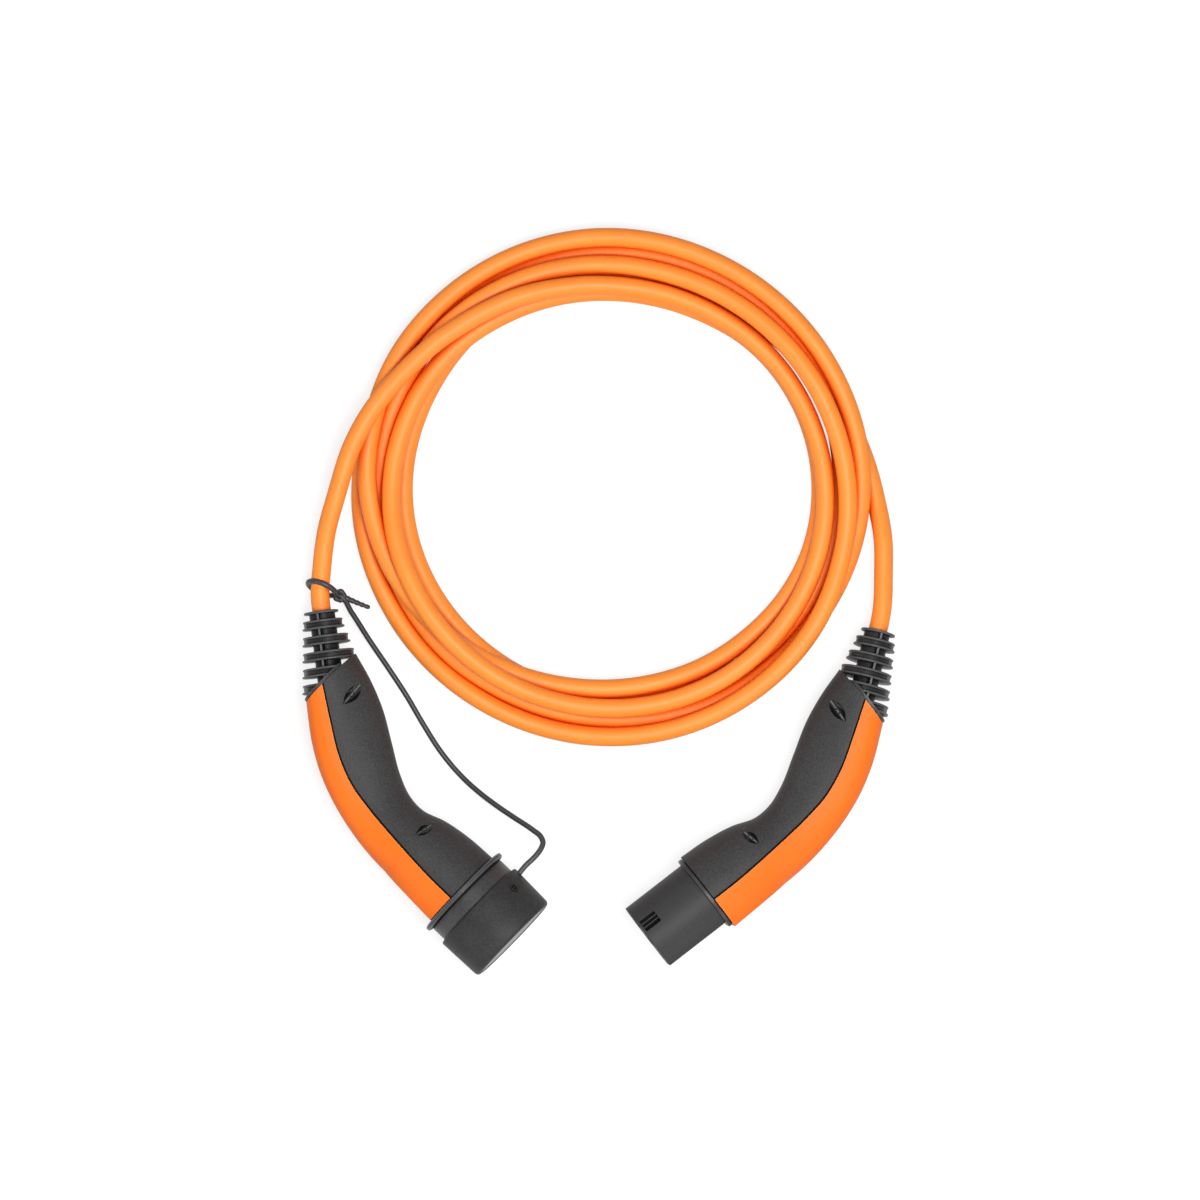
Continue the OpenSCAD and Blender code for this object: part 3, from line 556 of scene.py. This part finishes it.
def make_lanyard():
    root = PLUG @ Vector((CAP_X + STRAP_ROOT_X, CAP_Y - CAP_BODY_R + STRAP_ROOT_DEPTH, 0))
    route = [tuple(root)] + STRAP_ROUTE + [EYE_AT] + loop_points() + STRAP_END
    path = smooth_path(route, STRAP_STEP)
    shape = tube(path, strap_radii(path), sides=16, ref=(0.35, 0.94, 0.12))
    strap = piece("cap_strap", *shape, STRAP, node=("cap_lanyard",), slot="black_rubber",
                  sharp=60)
    eye = make_eye()


# Handle shells: the sections of the CAD loft at a finer step. Each row of the profile has x, the
# y of the concave side, of the back and of the seam, and the half width.
PROFILE = [
    (REAR_X, -68.5, -19.6, -36.7, REAR_HALF),
    (-150, -62, -2.8, -22.4, REAR_HALF - 1),
    (-130, -53.4, 8.9, -9.8, 22.8),
    (-110, -41.4, 16.8, -1.3, 21.4),
    (-90, -29.4, 22.1, 2.5, 21.2),
    (-75, -23.5, 24.7, 4.1, 22.5),
    (-62, -22.6, 26, 5, 25),
    (-45, -28, 26.6, 6, NOSE_R + 0.5),
    (-25, -NOSE_R - 3.4, NOSE_FLAT + 5.5, 6.8, NOSE_R + 3.2),
    (-SEAL_T, -COLLAR_R, NOSE_FLAT + 6.2, 6.7, COLLAR_R),
]
CONCAVE, BACK, SEAM, HALF = range(1, 5)
SEAM_SHIFT = {"vehicle": (-2.8, -4.5), "plug": (0.0, -1.0)}
ROUND_FROM, ROUND_OVER = -80, 42
OVAL_POWER = 2 / 3
GROOVE_W = 1.5
GROOVE_DEPTH = 1.6
SHELL_STEP = 1.5
OUTER_STEPS = 84
INNER_STEPS = 28


def profile_at(x, column):
    xs = [row[0] for row in PROFILE]
    return float(spline(np.array([x]), xs, [row[column] for row in PROFILE])[0])


def signed_power(v, e):
    """Power of the size of a number, with its sign."""
    return math.copysign(abs(v) ** e, v)


def seam_shift(side, x):
    """The vehicle connector lies rolled a little, so its seam shows nearer the concave side."""
    front, rear = SEAM_SHIFT[side]
    return front + (rear - front) * x / REAR_X


def half_outline(x, inset, low, steps, shift=0.0):
    """One half of a section as (x, y, z) points from +z to -z, inset by a wall. It goes over
    from an oval at the grip to the round D of the collar; low is the concave half."""
    front, back = profile_at(x, CONCAVE) + inset, profile_at(x, BACK) - inset
    seam, half = profile_at(x, SEAM) + shift, profile_at(x, HALF) - inset
    t = min(max((x - ROUND_FROM) / ROUND_OVER, 0.0), 1.0)
    share = t * t * (3 - 2 * t)
    reach = -front if low else max(-front, back)
    start = math.asin(seam / reach)
    points = []
    for k in range(steps + 1):
        f = k / steps
        beta = -math.pi * f if low else math.pi * f
        alpha = start + ((-math.pi - 2 * start) if low else (math.pi - 2 * start)) * f
        e = 1.0 if low else OVAL_POWER
        depth = seam - front if low else back - seam
        y = seam + depth * signed_power(math.sin(beta), e)
        z = half * signed_power(math.cos(beta), e)
        round_y = min(reach * math.sin(alpha), back)
        round_z = half * math.cos(alpha)
        points.append((x, y + (round_y - y) * share, z + (round_z - z) * share))
    return points


def shell_rings(low, side):
    """C-shaped rings; the front shell has a shadow groove under the seam."""
    xs = list(np.arange(REAR_X, -SEAL_T - 0.01, SHELL_STEP)) + [-SEAL_T]
    rings = []
    for x in xs:
        shift = seam_shift(side, x)
        inner = half_outline(x, WALL, low, INNER_STEPS, shift)
        outer = half_outline(x, 0.0, low, OUTER_STEPS, shift - (GROOVE_W if low else 0))
        if low:
            y, top = outer[0][1:]
            start = [(x, y + GROOVE_W, top - GROOVE_DEPTH), (x, y, top - GROOVE_DEPTH)]
            outer = start + outer + [(px, py, -pz) for px, py, pz in start[::-1]]
        rings.append(outer + inner[::-1])
    return rings


# Screws and their pockets: place and turn, almond outline of the pocket, heights above the middle
# plane of the pocket's floor, the screw's seat and the boss's foot and top, slope of that top
UPPER_POCKET = {"at": (-151.7, -46.7), "turn": -3, "width": 8.2, "length": 18,
                "floor": REAR_HALF - 10.4, "seat": REAR_HALF - 12.3, "foot": REAR_HALF - 15,
                "top": REAR_HALF - 12.2, "slope": 20.8}
LOWER_POCKET = {"at": (-49.8, -14.4), "turn": 13, "width": 6.8, "length": 13.8,
                "floor": NOSE_R - 9.6, "seat": NOSE_R - 11.5, "foot": NOSE_R - 12.5,
                "top": NOSE_R - 12.4, "slope": 30}
SEAT_R = 2.6
LEAF_POINT, LEAF_THIN = 1.8, 0.004
POCKET_WALL = 1.8
POCKET_TOP = 44


def at_screw(pocket, flip):
    """From the pocket's frame, z out of the shell, to the connector's; flip is the far side."""
    m = Matrix.Translation((*pocket["at"], 0))
    m = m @ Matrix.Rotation(math.radians(pocket["turn"]), 4, "Z")
    return m @ Matrix.Rotation(math.pi, 4, "Y") if flip else m


def leaf_side(width, length, steps=20):
    """Right flank of an almond: round end at -y, pointed end at +y."""
    side = []
    for k in range(-steps, steps + 1):
        t = math.sin(math.pi / 2 * k / steps)
        w = math.sqrt(1 - t * t) if t < 0 else 1 - t**LEAF_POINT
        side.append((max(w, LEAF_THIN) * width / 2, t * length / 2))
    return side


def screw_boss(pocket):
    """Almond block inside the shell that holds the screw, with a sloping top."""
    length = pocket["length"]
    side = leaf_side(pocket["width"] + 2 * POCKET_WALL, length + 2 * POCKET_WALL)
    outline = side + [(-x, y) for x, y in side[-2:0:-1]]
    rise = math.tan(math.radians(pocket["slope"]))
    top = [(x, y, pocket["top"] + (y + length / 2) * rise) for x, y in outline]
    return loft([[(x, y, pocket["foot"]) for x, y in outline], top])


def trough(pocket, arc=12):
    """Almond cutter with a concave floor, as rings along its length."""
    r = pocket["width"] / 2
    rings = []
    for w, y in leaf_side(pocket["width"], pocket["length"]):
        xs = [w * math.sin(math.pi / 2 * (2 * k / arc - 1)) for k in range(arc + 1)]
        ring = [(x, y, pocket["floor"] + r - math.sqrt(max(r * r - x * x, 0))) for x in xs]
        rings.append(ring + [(w, y, POCKET_TOP), (-w, y, POCKET_TOP)])
    return loft(rings)


def screw_seat(pocket):
    """Round cutter for the head of the screw."""
    return loft([[(SEAT_R * math.cos(a), SEAT_R * math.sin(a), z) for a in turns(32)]
                 for z in (pocket["seat"], pocket["floor"] + 1)])


def paint_groove(shell):
    """Painted shade: the walls of the shadow groove, the first and the last outer faces of each
    ring, get a near-black.
    """
    shell.data.materials.append(SHADE_BLACK)
    ring = OUTER_STEPS + INNER_STEPS + 6
    groove = (0, 1, OUTER_STEPS + 2, OUTER_STEPS + 3)
    for face in shell.data.polygons:
        if len(face.vertices) == 4 and face.index % ring in groove:
            face.material_index = 1


def make_front_shell(side, place):
    """Black shell. Its screw seats are cut only on the side that faces down."""
    shell = piece(f"{side}_grip_shell", *loft(shell_rings(True, side)), BLACK, place,
                  node=(f"{side}_front_shell",), slot="black_plastic")
    paint_groove(shell)
    bosses, cutters = [], []
    for pocket in (UPPER_POCKET, LOWER_POCKET):
        for flip in (False, True):
            here = at_screw(pocket, flip)
            bosses.append(moved(screw_boss(pocket), here))
            cutters.append(moved(trough(pocket), here))
            if flip == (side == "vehicle"):
                cutters.append(moved(screw_seat(pocket), here))
    combine(shell, bosses, place, "UNION")
    # The faces the cutters leave get the near-black of painted shade.
    combine(shell, cutters, place, mat=POCKET_SHADE)
    bevel(shell, width=0.35)


def make_back_shell(side, place):
    shell = piece(f"{side}_spine_shell", *loft(shell_rings(False, side)), ORANGE, place,
                  node=(f"{side}_back_shell",), slot="orange_plastic")
    # The rounded edges get a lighter orange: painted highlight.
    bevel(shell, width=0.7, mat=ORANGE_HIGHLIGHT)


# Strain relief boot: s runs from its mouth towards the handle
BAND_PITCH, BAND_W, BAND_FIRST, BANDS = 11.05, 6.4, 6.3, 5
MOUTH_R, BOOT_TAPER, MOUTH_RING = 12.1, 0.185, 1.9
FLANGE_W, GROOVE_SIDE, GROOVE_TOP = 1.6, 1.0, 2.6
BAND_OVER = 0.6
BAND_DRIFT, BAND_START = 0.055, -0.5
BAND_BORE_R = CABLE_R + 0.5
BOOT_CORE_R, BOOT_CORE_END = CABLE_R + 2.6, 12
# Depth of the rim faces that get the painted highlight.
RIM_LIGHT = 0.75
RIB_N, RIB_T, RIB_SINK, RIB_LOW = 2.4, 1.4, 1.2, 1.4
OVERLAP = 0.1
# Base plate against the handle: x from the rear face and inset from the handle's outline
PLATE_STOPS = ((-2.5, 0.7), (-0.5, 0.7), (-0.5, 1.8), (0.1, 1.8))
PLATE_END = -57.0


def boot_r(s):
    return MOUTH_R + BOOT_TAPER * s


def band_off(s):
    """How far a band's centre lies off the cable axis, towards the concave side."""
    return BAND_START + BAND_DRIFT * s


def rim(s, width, over_r=0.0, steps=6):
    """(x, r) points over the rounded rim of a flange that starts at s."""
    r = width / 2
    arc = [math.pi * (1 - k / steps) for k in range(steps + 1)]
    centre = boot_r(s + r) + over_r - r
    over = [(s + r + r * math.cos(a), centre + r * math.sin(a)) for a in arc]
    return [(s, BAND_BORE_R)] + over + [(s + width, BAND_BORE_R)]


def boot_band(s, width, sides=80):
    """The mouth ring, or a band of two flanges and a web, deeper above than at the sides."""
    rings = []
    for a in turns(sides):
        rows = rim(s, width)
        if width > 2 * FLANGE_W:
            groove = GROOVE_SIDE + (GROOVE_TOP - GROOVE_SIDE) * math.sin(a) ** 2
            web = boot_r(s + width / 2) + BAND_OVER - groove
            rows = rim(s, FLANGE_W, BAND_OVER)[:-1] + [(s + FLANGE_W, web)]
            rows += [(s + width - FLANGE_W, web)]
            rows += rim(s + width - FLANGE_W, FLANGE_W, BAND_OVER)[1:]
        rings.append([(x, r * math.cos(a), r * math.sin(a)) for x, r in rows])
    return moved(turned_solid(rings), Matrix.Translation((-BOOT_LENGTH, -band_off(s), 0)))


def paint_rim_highlights(obj, along):
    """Painted highlight: a lighter rubber on the outer edges of the flanges and on the ribs between
    them.
    """
    obj.data.materials.append(RUBBER_HIGHLIGHT)
    back = along.inverted()
    for face in obj.data.polygons:
        at = back @ (face.center / MM)
        s = at.x + BOOT_LENGTH
        on_rim = math.hypot(at.y + band_off(s), at.z) > boot_r(s) - RIM_LIGHT
        between = s < BAND_FIRST or (s - BAND_FIRST) % BAND_PITCH > BAND_W
        on_rib = between and abs(at.y - RIB_N) < RIB_T * 0.45 and BOOT_CORE_R < abs(at.z)
        if on_rim or on_rib:
            face.material_index = 1


def boot_ribs(start, end):
    """The ribs above and below the core, between two bands."""
    top = boot_r(start) - RIB_LOW
    return [box((start - BOOT_LENGTH - OVERLAP, RIB_N - RIB_T / 2, z0),
                (end - BOOT_LENGTH + OVERLAP, RIB_N + RIB_T / 2, z1))
            for z0, z1 in ((BOOT_CORE_R - RIB_SINK, top), (-top, RIB_SINK - BOOT_CORE_R))]


def boot_parts():
    core = [(-BOOT_LENGTH, CABLE_R), (-BOOT_LENGTH, BOOT_CORE_R), (BOOT_CORE_END, BOOT_CORE_R),
            (BOOT_CORE_END, CABLE_R)]
    parts = [lathe(core, 72), boot_band(0, MOUTH_RING)]
    for i in range(BANDS):
        s = BAND_FIRST + BAND_PITCH * i
        parts.append(boot_band(s, BAND_W))
        parts += boot_ribs(MOUTH_RING if i == 0 else s - BAND_PITCH + BAND_W, s)
    return parts


def cut_at_rear(obj, place):
    """Cuts the boot off obliquely where the handle's rear face is."""
    bm = bmesh.new()
    bm.from_mesh(obj.data)
    normal = (place.to_3x3() @ Vector((1, 0, 0))).normalized()
    bmesh.ops.bisect_plane(bm, geom=bm.verts[:] + bm.edges[:] + bm.faces[:],
                           plane_co=(place @ Vector((REAR_X, 0, 0))) * MM, plane_no=normal,
                           clear_outer=True)
    bm.to_mesh(obj.data)
    bm.free()


def make_boot(side, place):
    along = along_cable(side)
    boot = piece(f"{side}_strain_relief", *moved(joined(*boot_parts()), along), RUBBER, place,
                 node=(f"{side}_boot",), slot="black_rubber")
    paint_rim_highlights(boot, place @ along)
    cut_at_rear(boot, place)


def make_boot_plate(side, place):
    shift = seam_shift(side, REAR_X)
    rings = []
    for x, inset in PLATE_STOPS:
        outline = half_outline(REAR_X, inset, True, 40, shift)
        outline += half_outline(REAR_X, inset, False, 40, shift)[-2:0:-1]
        rings.append([(REAR_X + x, max(y, PLATE_END + inset), z) for _, y, z in outline])
    plate = piece(f"{side}_boot_flange", *loft(rings), RUBBER, place, slot="black_rubber")
    # Its rounded edges get the painted highlight of the lighter rubber.
    bevel(plate, width=0.4, mat=RUBBER_HIGHLIGHT)


# Nose and seal: D outlines, x forward from the front face of the handle's seal
def d_ring(x, r, flat, sides=96, flat_steps=8):
    """D outline: an arc with a flat towards +y."""
    edge = math.acos(flat / r)
    arc = [edge + (2 * math.pi - 2 * edge) * k / sides for k in range(sides + 1)]
    points = [(x, r * math.cos(a), r * math.sin(a)) for a in arc]
    half = r * math.sin(edge)
    return points + [(x, flat, -half + 2 * half * (k / flat_steps))
                     for k in range(1, flat_steps)]


# y, z and radius of each contact
POWER_R, SIGNAL_R = 3.0, 1.5
CONTACTS = [(0, 16, POWER_R), (-14, 8, POWER_R), (-14, -8, POWER_R), (0, -16, POWER_R),
            (0, 0, POWER_R), (12.6, 7.8, SIGNAL_R), (12.6, -7.8, SIGNAL_R)]
SLEEVE_WALL = {POWER_R: 1.5, SIGNAL_R: 1.1}
BORE_GAP, RECESS_GAP, SEAT_GAP = 0.05, 0.9, 1.1
RECESS, SEAT_DEPTH = 6.3, 3
INSERT_REAR, INSERT_OVER = -16, 0.9
NECK_STEP, NECK_END = 0.8, 0.3
NOSE_STEP, TIP_ROUND = 3.0, 0.6
NOTCH_RIBS, NOTCH_RIB_T, NOTCH_RIB_H = (-12.9, -10.1), 0.9, 3.6
NOTCH_LO = (NOSE_LENGTH - 14.3, -15.7, NOSE_R - 9)
NOTCH_HI = (NOSE_LENGTH - 1.7, -7.3, NOSE_R + 2)


def nose_stops():
    """(x, offset from the nose's outline) from the rear of the insert to the rounded tip."""
    stops = [(INSERT_REAR, INSERT_OVER), (-SEAL_T, INSERT_OVER), (-SEAL_T, -NECK_STEP),
             (NECK_END, -NECK_STEP), (NECK_END, 0)]
    stops += [(x, 0) for x in np.arange(NOSE_STEP, NOSE_LENGTH - 1, NOSE_STEP)]
    return stops + [(NOSE_LENGTH - TIP_ROUND + TIP_ROUND * math.sin(a),
                     TIP_ROUND * (math.cos(a) - 1)) for a in (0, 0.5, 1.0, math.pi / 2)]


def contact_cutters(y, z, r):
    """The bore with its wider mouth, and the seat of the contact's flange behind it."""
    sleeve = r + SLEEVE_WALL[r]
    behind, mouth = INSERT_REAR - 1, NOSE_LENGTH - RECESS
    bore = [(behind, sleeve + BORE_GAP), (mouth, sleeve + BORE_GAP),
            (mouth, sleeve + RECESS_GAP), (NOSE_LENGTH + 1, sleeve + RECESS_GAP)]
    seat = [(behind, sleeve + SEAT_GAP), (INSERT_REAR + SEAT_DEPTH, sleeve + SEAT_GAP)]
    return [turned(bore, 40, y, z), turned(seat, 40, y, z)]


def make_nose():
    rings = [d_ring(x, NOSE_R + out, NOSE_FLAT + out) for x, out in nose_stops()]
    nose = piece("vehicle_nose_shell", *loft(rings), NOSE_BLACK, VEHICLE,
                 node=("vehicle_nose",), slot="black_plastic")
    cutters = [box(NOTCH_LO, NOTCH_HI)]
    for contact in CONTACTS:
        cutters += contact_cutters(*contact)
    # The notch and the bores get the near-black of painted shade.
    combine(nose, cutters, VEHICLE, mat=SHADE_BLACK)
    bevel(nose, width=0.35)


def make_notch_ribs():
    half = NOTCH_RIB_T / 2
    ribs = [box((NOTCH_LO[0] - OVERLAP, y - half, NOTCH_LO[2] - OVERLAP),
                (NOTCH_HI[0] + OVERLAP, y + half, NOTCH_LO[2] + NOTCH_RIB_H))
            for y in NOTCH_RIBS]
    # The ribs get the darker black of painted shade.
    ribbed = piece("nose_notch_ribs", *joined(*ribs), RIB_SHADE, VEHICLE,
                   slot="black_plastic")
    bevel(ribbed, width=0.2)


# How far the seal stands out over the nose: its neck, its lip and the edges of the lip
SEAL_NECK, SEAL_LIP, SEAL_LIP_EDGE = 1.6, 3.5, 3.2
SEAL_EDGE = 0.3
SEAL_FLAT_OVER = 0.4


def make_seal(side, place, front, lip):
    """Ring from the handle to x = front, with a lip of the given width in front of its neck."""
    back = front - lip
    stops = [(-SEAL_T, SEAL_NECK), (back, SEAL_NECK), (back, SEAL_LIP_EDGE),
             (back + SEAL_EDGE, SEAL_LIP), (front - SEAL_EDGE, SEAL_LIP), (front, SEAL_LIP_EDGE)]
    outer = [d_ring(x, NOSE_R + o, NOSE_FLAT + o + SEAL_FLAT_OVER) for x, o in stops]
    inner = [d_ring(x, NOSE_R - NECK_STEP, NOSE_FLAT - NECK_STEP)
             for x in (front, -SEAL_T)]
    piece(f"{side}_seal_ring", *turned_solid(outer + inner), RUBBER, place,
          node=(f"{side}_seal",), slot="black_rubber")


# Dust cap, with a rivet head on its side: place along the cap and turn about it
CAP_BORE_R, CAP_WALL_T = 32.5, 2.6
CAP_NECK_R, CAP_NECK_END = CAP_LIP_R - 3.4, 13
CAP_ROUND_R = 3.2
RIVET_X, RIVET_TURN = 24.1, -48.5


def cap_profile():
    """(x, r) from the floor inside the cap over its grooved lip, neck and body to its face."""
    lip, end = CAP_LIP_R, CAP_LENGTH
    rows = [(end - CAP_WALL_T, CAP_BORE_R), (1, CAP_BORE_R), (-1.7, 33.6),
            (-1.7, lip - 1.4), (-1.4, lip - 0.6), (-0.8, lip - 0.1), (-0.3, lip),
            (-0.1, lip - 0.4), (0.2, lip - 0.4), (0.4, lip), (0.9, lip - 0.1),
            (1.5, lip - 0.6), (1.8, lip - 1.4),
            (1.8, CAP_NECK_R - 0.3), (2.6, CAP_NECK_R - 0.3), (3, CAP_NECK_R),
            (CAP_NECK_END, CAP_NECK_R), (13.6, CAP_NECK_R + 0.4),
            (14, CAP_BODY_R - 0.7), (14.7, CAP_BODY_R)]
    flat_r = CAP_BODY_R - 0.9 - CAP_ROUND_R
    rows += [(end - CAP_ROUND_R + CAP_ROUND_R * math.sin(a), flat_r + CAP_ROUND_R * math.cos(a))
             for a in [math.radians(d) for d in range(0, 91, 10)]]
    return rows + [(end, flat_r - 0.5), (end - 0.5, flat_r - 0.8)]


def rivet_profile():
    """(x, r) of a button with a raised rim, x from the cap's axis."""
    top = CAP_BODY_R
    return [(top - 3, 0.02), (top + 0.1, 0.02), (top + 0.5, 0.5), (top + 0.5, 0.8),
            (top - 0.8, 1.2), (top - 0.8, 1.7), (top + 0.6, 1.9), (top + 0.6, 2.4),
            (top - 0.1, 2.7), (top - 3, 2.7)]


def paint_cap(cap):
    """Painted light: the flat face, the lip and the neck get lighter copies of the black than the
    body, standing in for the light they catch.
    """
    for mat in (CAP_FACE_LIT, RUBBER_HIGHLIGHT, CAP_NECK):
        cap.data.materials.append(mat)
    forward = PLUG.to_3x3() @ Vector((1, 0, 0))
    for face in cap.data.polygons:
        local = PLUG.inverted() @ (face.center / MM)
        along, off = local.x - CAP_X, math.hypot(local.y - CAP_Y, local.z)
        if face.normal.dot(forward) > 0.98 and along > CAP_LENGTH - 1:
            face.material_index = 1
        if off > CAP_NECK_R + 1.4 and along < 1.7:
            face.material_index = 2
        elif abs(off - CAP_NECK_R) < 0.1 and along < CAP_NECK_END:
            face.material_index = 3


def make_cap():
    shape = moved(turned(cap_profile(), 160), Matrix.Translation((CAP_X, CAP_Y, 0)))
    around = Matrix.Translation((CAP_X + RIVET_X, CAP_Y, 0))
    around = around @ Matrix.Rotation(math.radians(RIVET_TURN), 4, "X")
    around = around @ Matrix.Rotation(math.radians(90), 4, "Y")
    rivet = moved(lathe(rivet_profile(), 32), around)
    cap = piece("plug_dust_cap", *joined(shape, rivet), CAP_BLACK, PLUG,
                node=("dust_cap",), slot="cap_plastic", sharp=50)
    paint_cap(cap)
    bevel(cap, width=0.25, angle=50)


# Light and floor, in metres: name, place, size, power and aim of each light
LIGHTS = [
    ("key", (0.35, -0.1, 2.6), 1.2, 62.0, (0.0, 0.13, 0.0)),
    ("front", (1.4, -1.5, 1.0), 0.9, 12.0, (0.0, 0.0, 0.03)),
    ("back", (-1.3, 1.5, 1.8), 1.2, 10.0, (0.0, 0.13, 0.0)),
    ("left", (-1.7, -1.0, 0.9), 0.9, 9.0, (0.0, 0.0, 0.03)),
]
AMBIENT = 0.15
FLOOR_HALF = 6.0
FLOOR_TONE = 0.28
FLOOR_WHITE = 0.76


def area_light(name, location, size, power, target):
    data = bpy.data.lights.new(name, "AREA")
    data.shape = "DISK"
    data.size = size
    data.energy = power
    light = linked(name, data)
    light.location = location
    aim = Vector(target) - Vector(location)
    light.rotation_mode = "QUATERNION"
    light.rotation_quaternion = aim.to_track_quat("-Z", "Y")


def maths(tree, operation, a, b):
    """Result of a maths node; b is a plain value or the output of another node."""
    n = tree.nodes.new("ShaderNodeMath")
    n.operation = operation
    tree.links.new(a, n.inputs[0])
    if isinstance(b, bpy.types.NodeSocket):
        tree.links.new(b, n.inputs[1])
    else:
        n.inputs[1].default_value = b
    return n.outputs[0]


def camera_white(tree, strength):
    """The strength for rays that show the background directly or in a reflection, else 0."""
    rays = tree.nodes.new("ShaderNodeLightPath").outputs
    shown = maths(tree, "MAXIMUM", rays["Is Camera Ray"], rays["Is Glossy Ray"])
    shown = maths(tree, "MAXIMUM", shown, rays["Is Transmission Ray"])
    return maths(tree, "MULTIPLY", shown, strength)


def make_world():
    world = bpy.data.worlds.new("world")
    bpy.context.scene.world = world
    world.use_nodes = True
    t = world.node_tree
    background = t.nodes["Background"]
    background.inputs["Color"].default_value = WHITE
    lifted = maths(t, "ADD", camera_white(t, 1.0 - AMBIENT), AMBIENT)
    t.links.new(lifted, background.inputs["Strength"])


def floor_material():
    m = bpy.data.materials.new("floor_white")
    m.use_nodes = True
    t = m.node_tree
    shader = t.nodes["Principled BSDF"]
    shader.inputs["Base Color"].default_value = (FLOOR_TONE, FLOOR_TONE, FLOOR_TONE, 1.0)
    shader.inputs["Roughness"].default_value = 0.9
    shader.inputs["Specular IOR Level"].default_value = 0.0
    shader.inputs["Emission Color"].default_value = WHITE
    t.links.new(camera_white(t, FLOOR_WHITE), shader.inputs["Emission Strength"])
    return m


def make_floor():
    a = FLOOR_HALF
    mesh = bpy.data.meshes.new("floor")
    mesh.from_pydata([(-a, -a, 0), (a, -a, 0), (a, a, 0), (-a, a, 0)], [], [(0, 1, 2, 3)])
    mesh.materials.append(floor_material())
    linked("floor", mesh)


make_camera()
make_cable()
make_lanyard()
paint_cad_nodes()
for SIDE, PLACE in (("vehicle", VEHICLE), ("plug", PLUG)):
    make_front_shell(SIDE, PLACE)
    make_back_shell(SIDE, PLACE)
    make_boot(SIDE, PLACE)
    make_boot_plate(SIDE, PLACE)
make_nose()
make_notch_ribs()
make_seal("vehicle", VEHICLE, front=0.0, lip=2.7)
make_seal("plug", PLUG, front=CAP_X, lip=1.5)
make_cap()
make_world()
make_floor()
for LIGHT in LIGHTS:
    area_light(*LIGHT)
bpy.context.scene.view_settings.view_transform = "Standard"
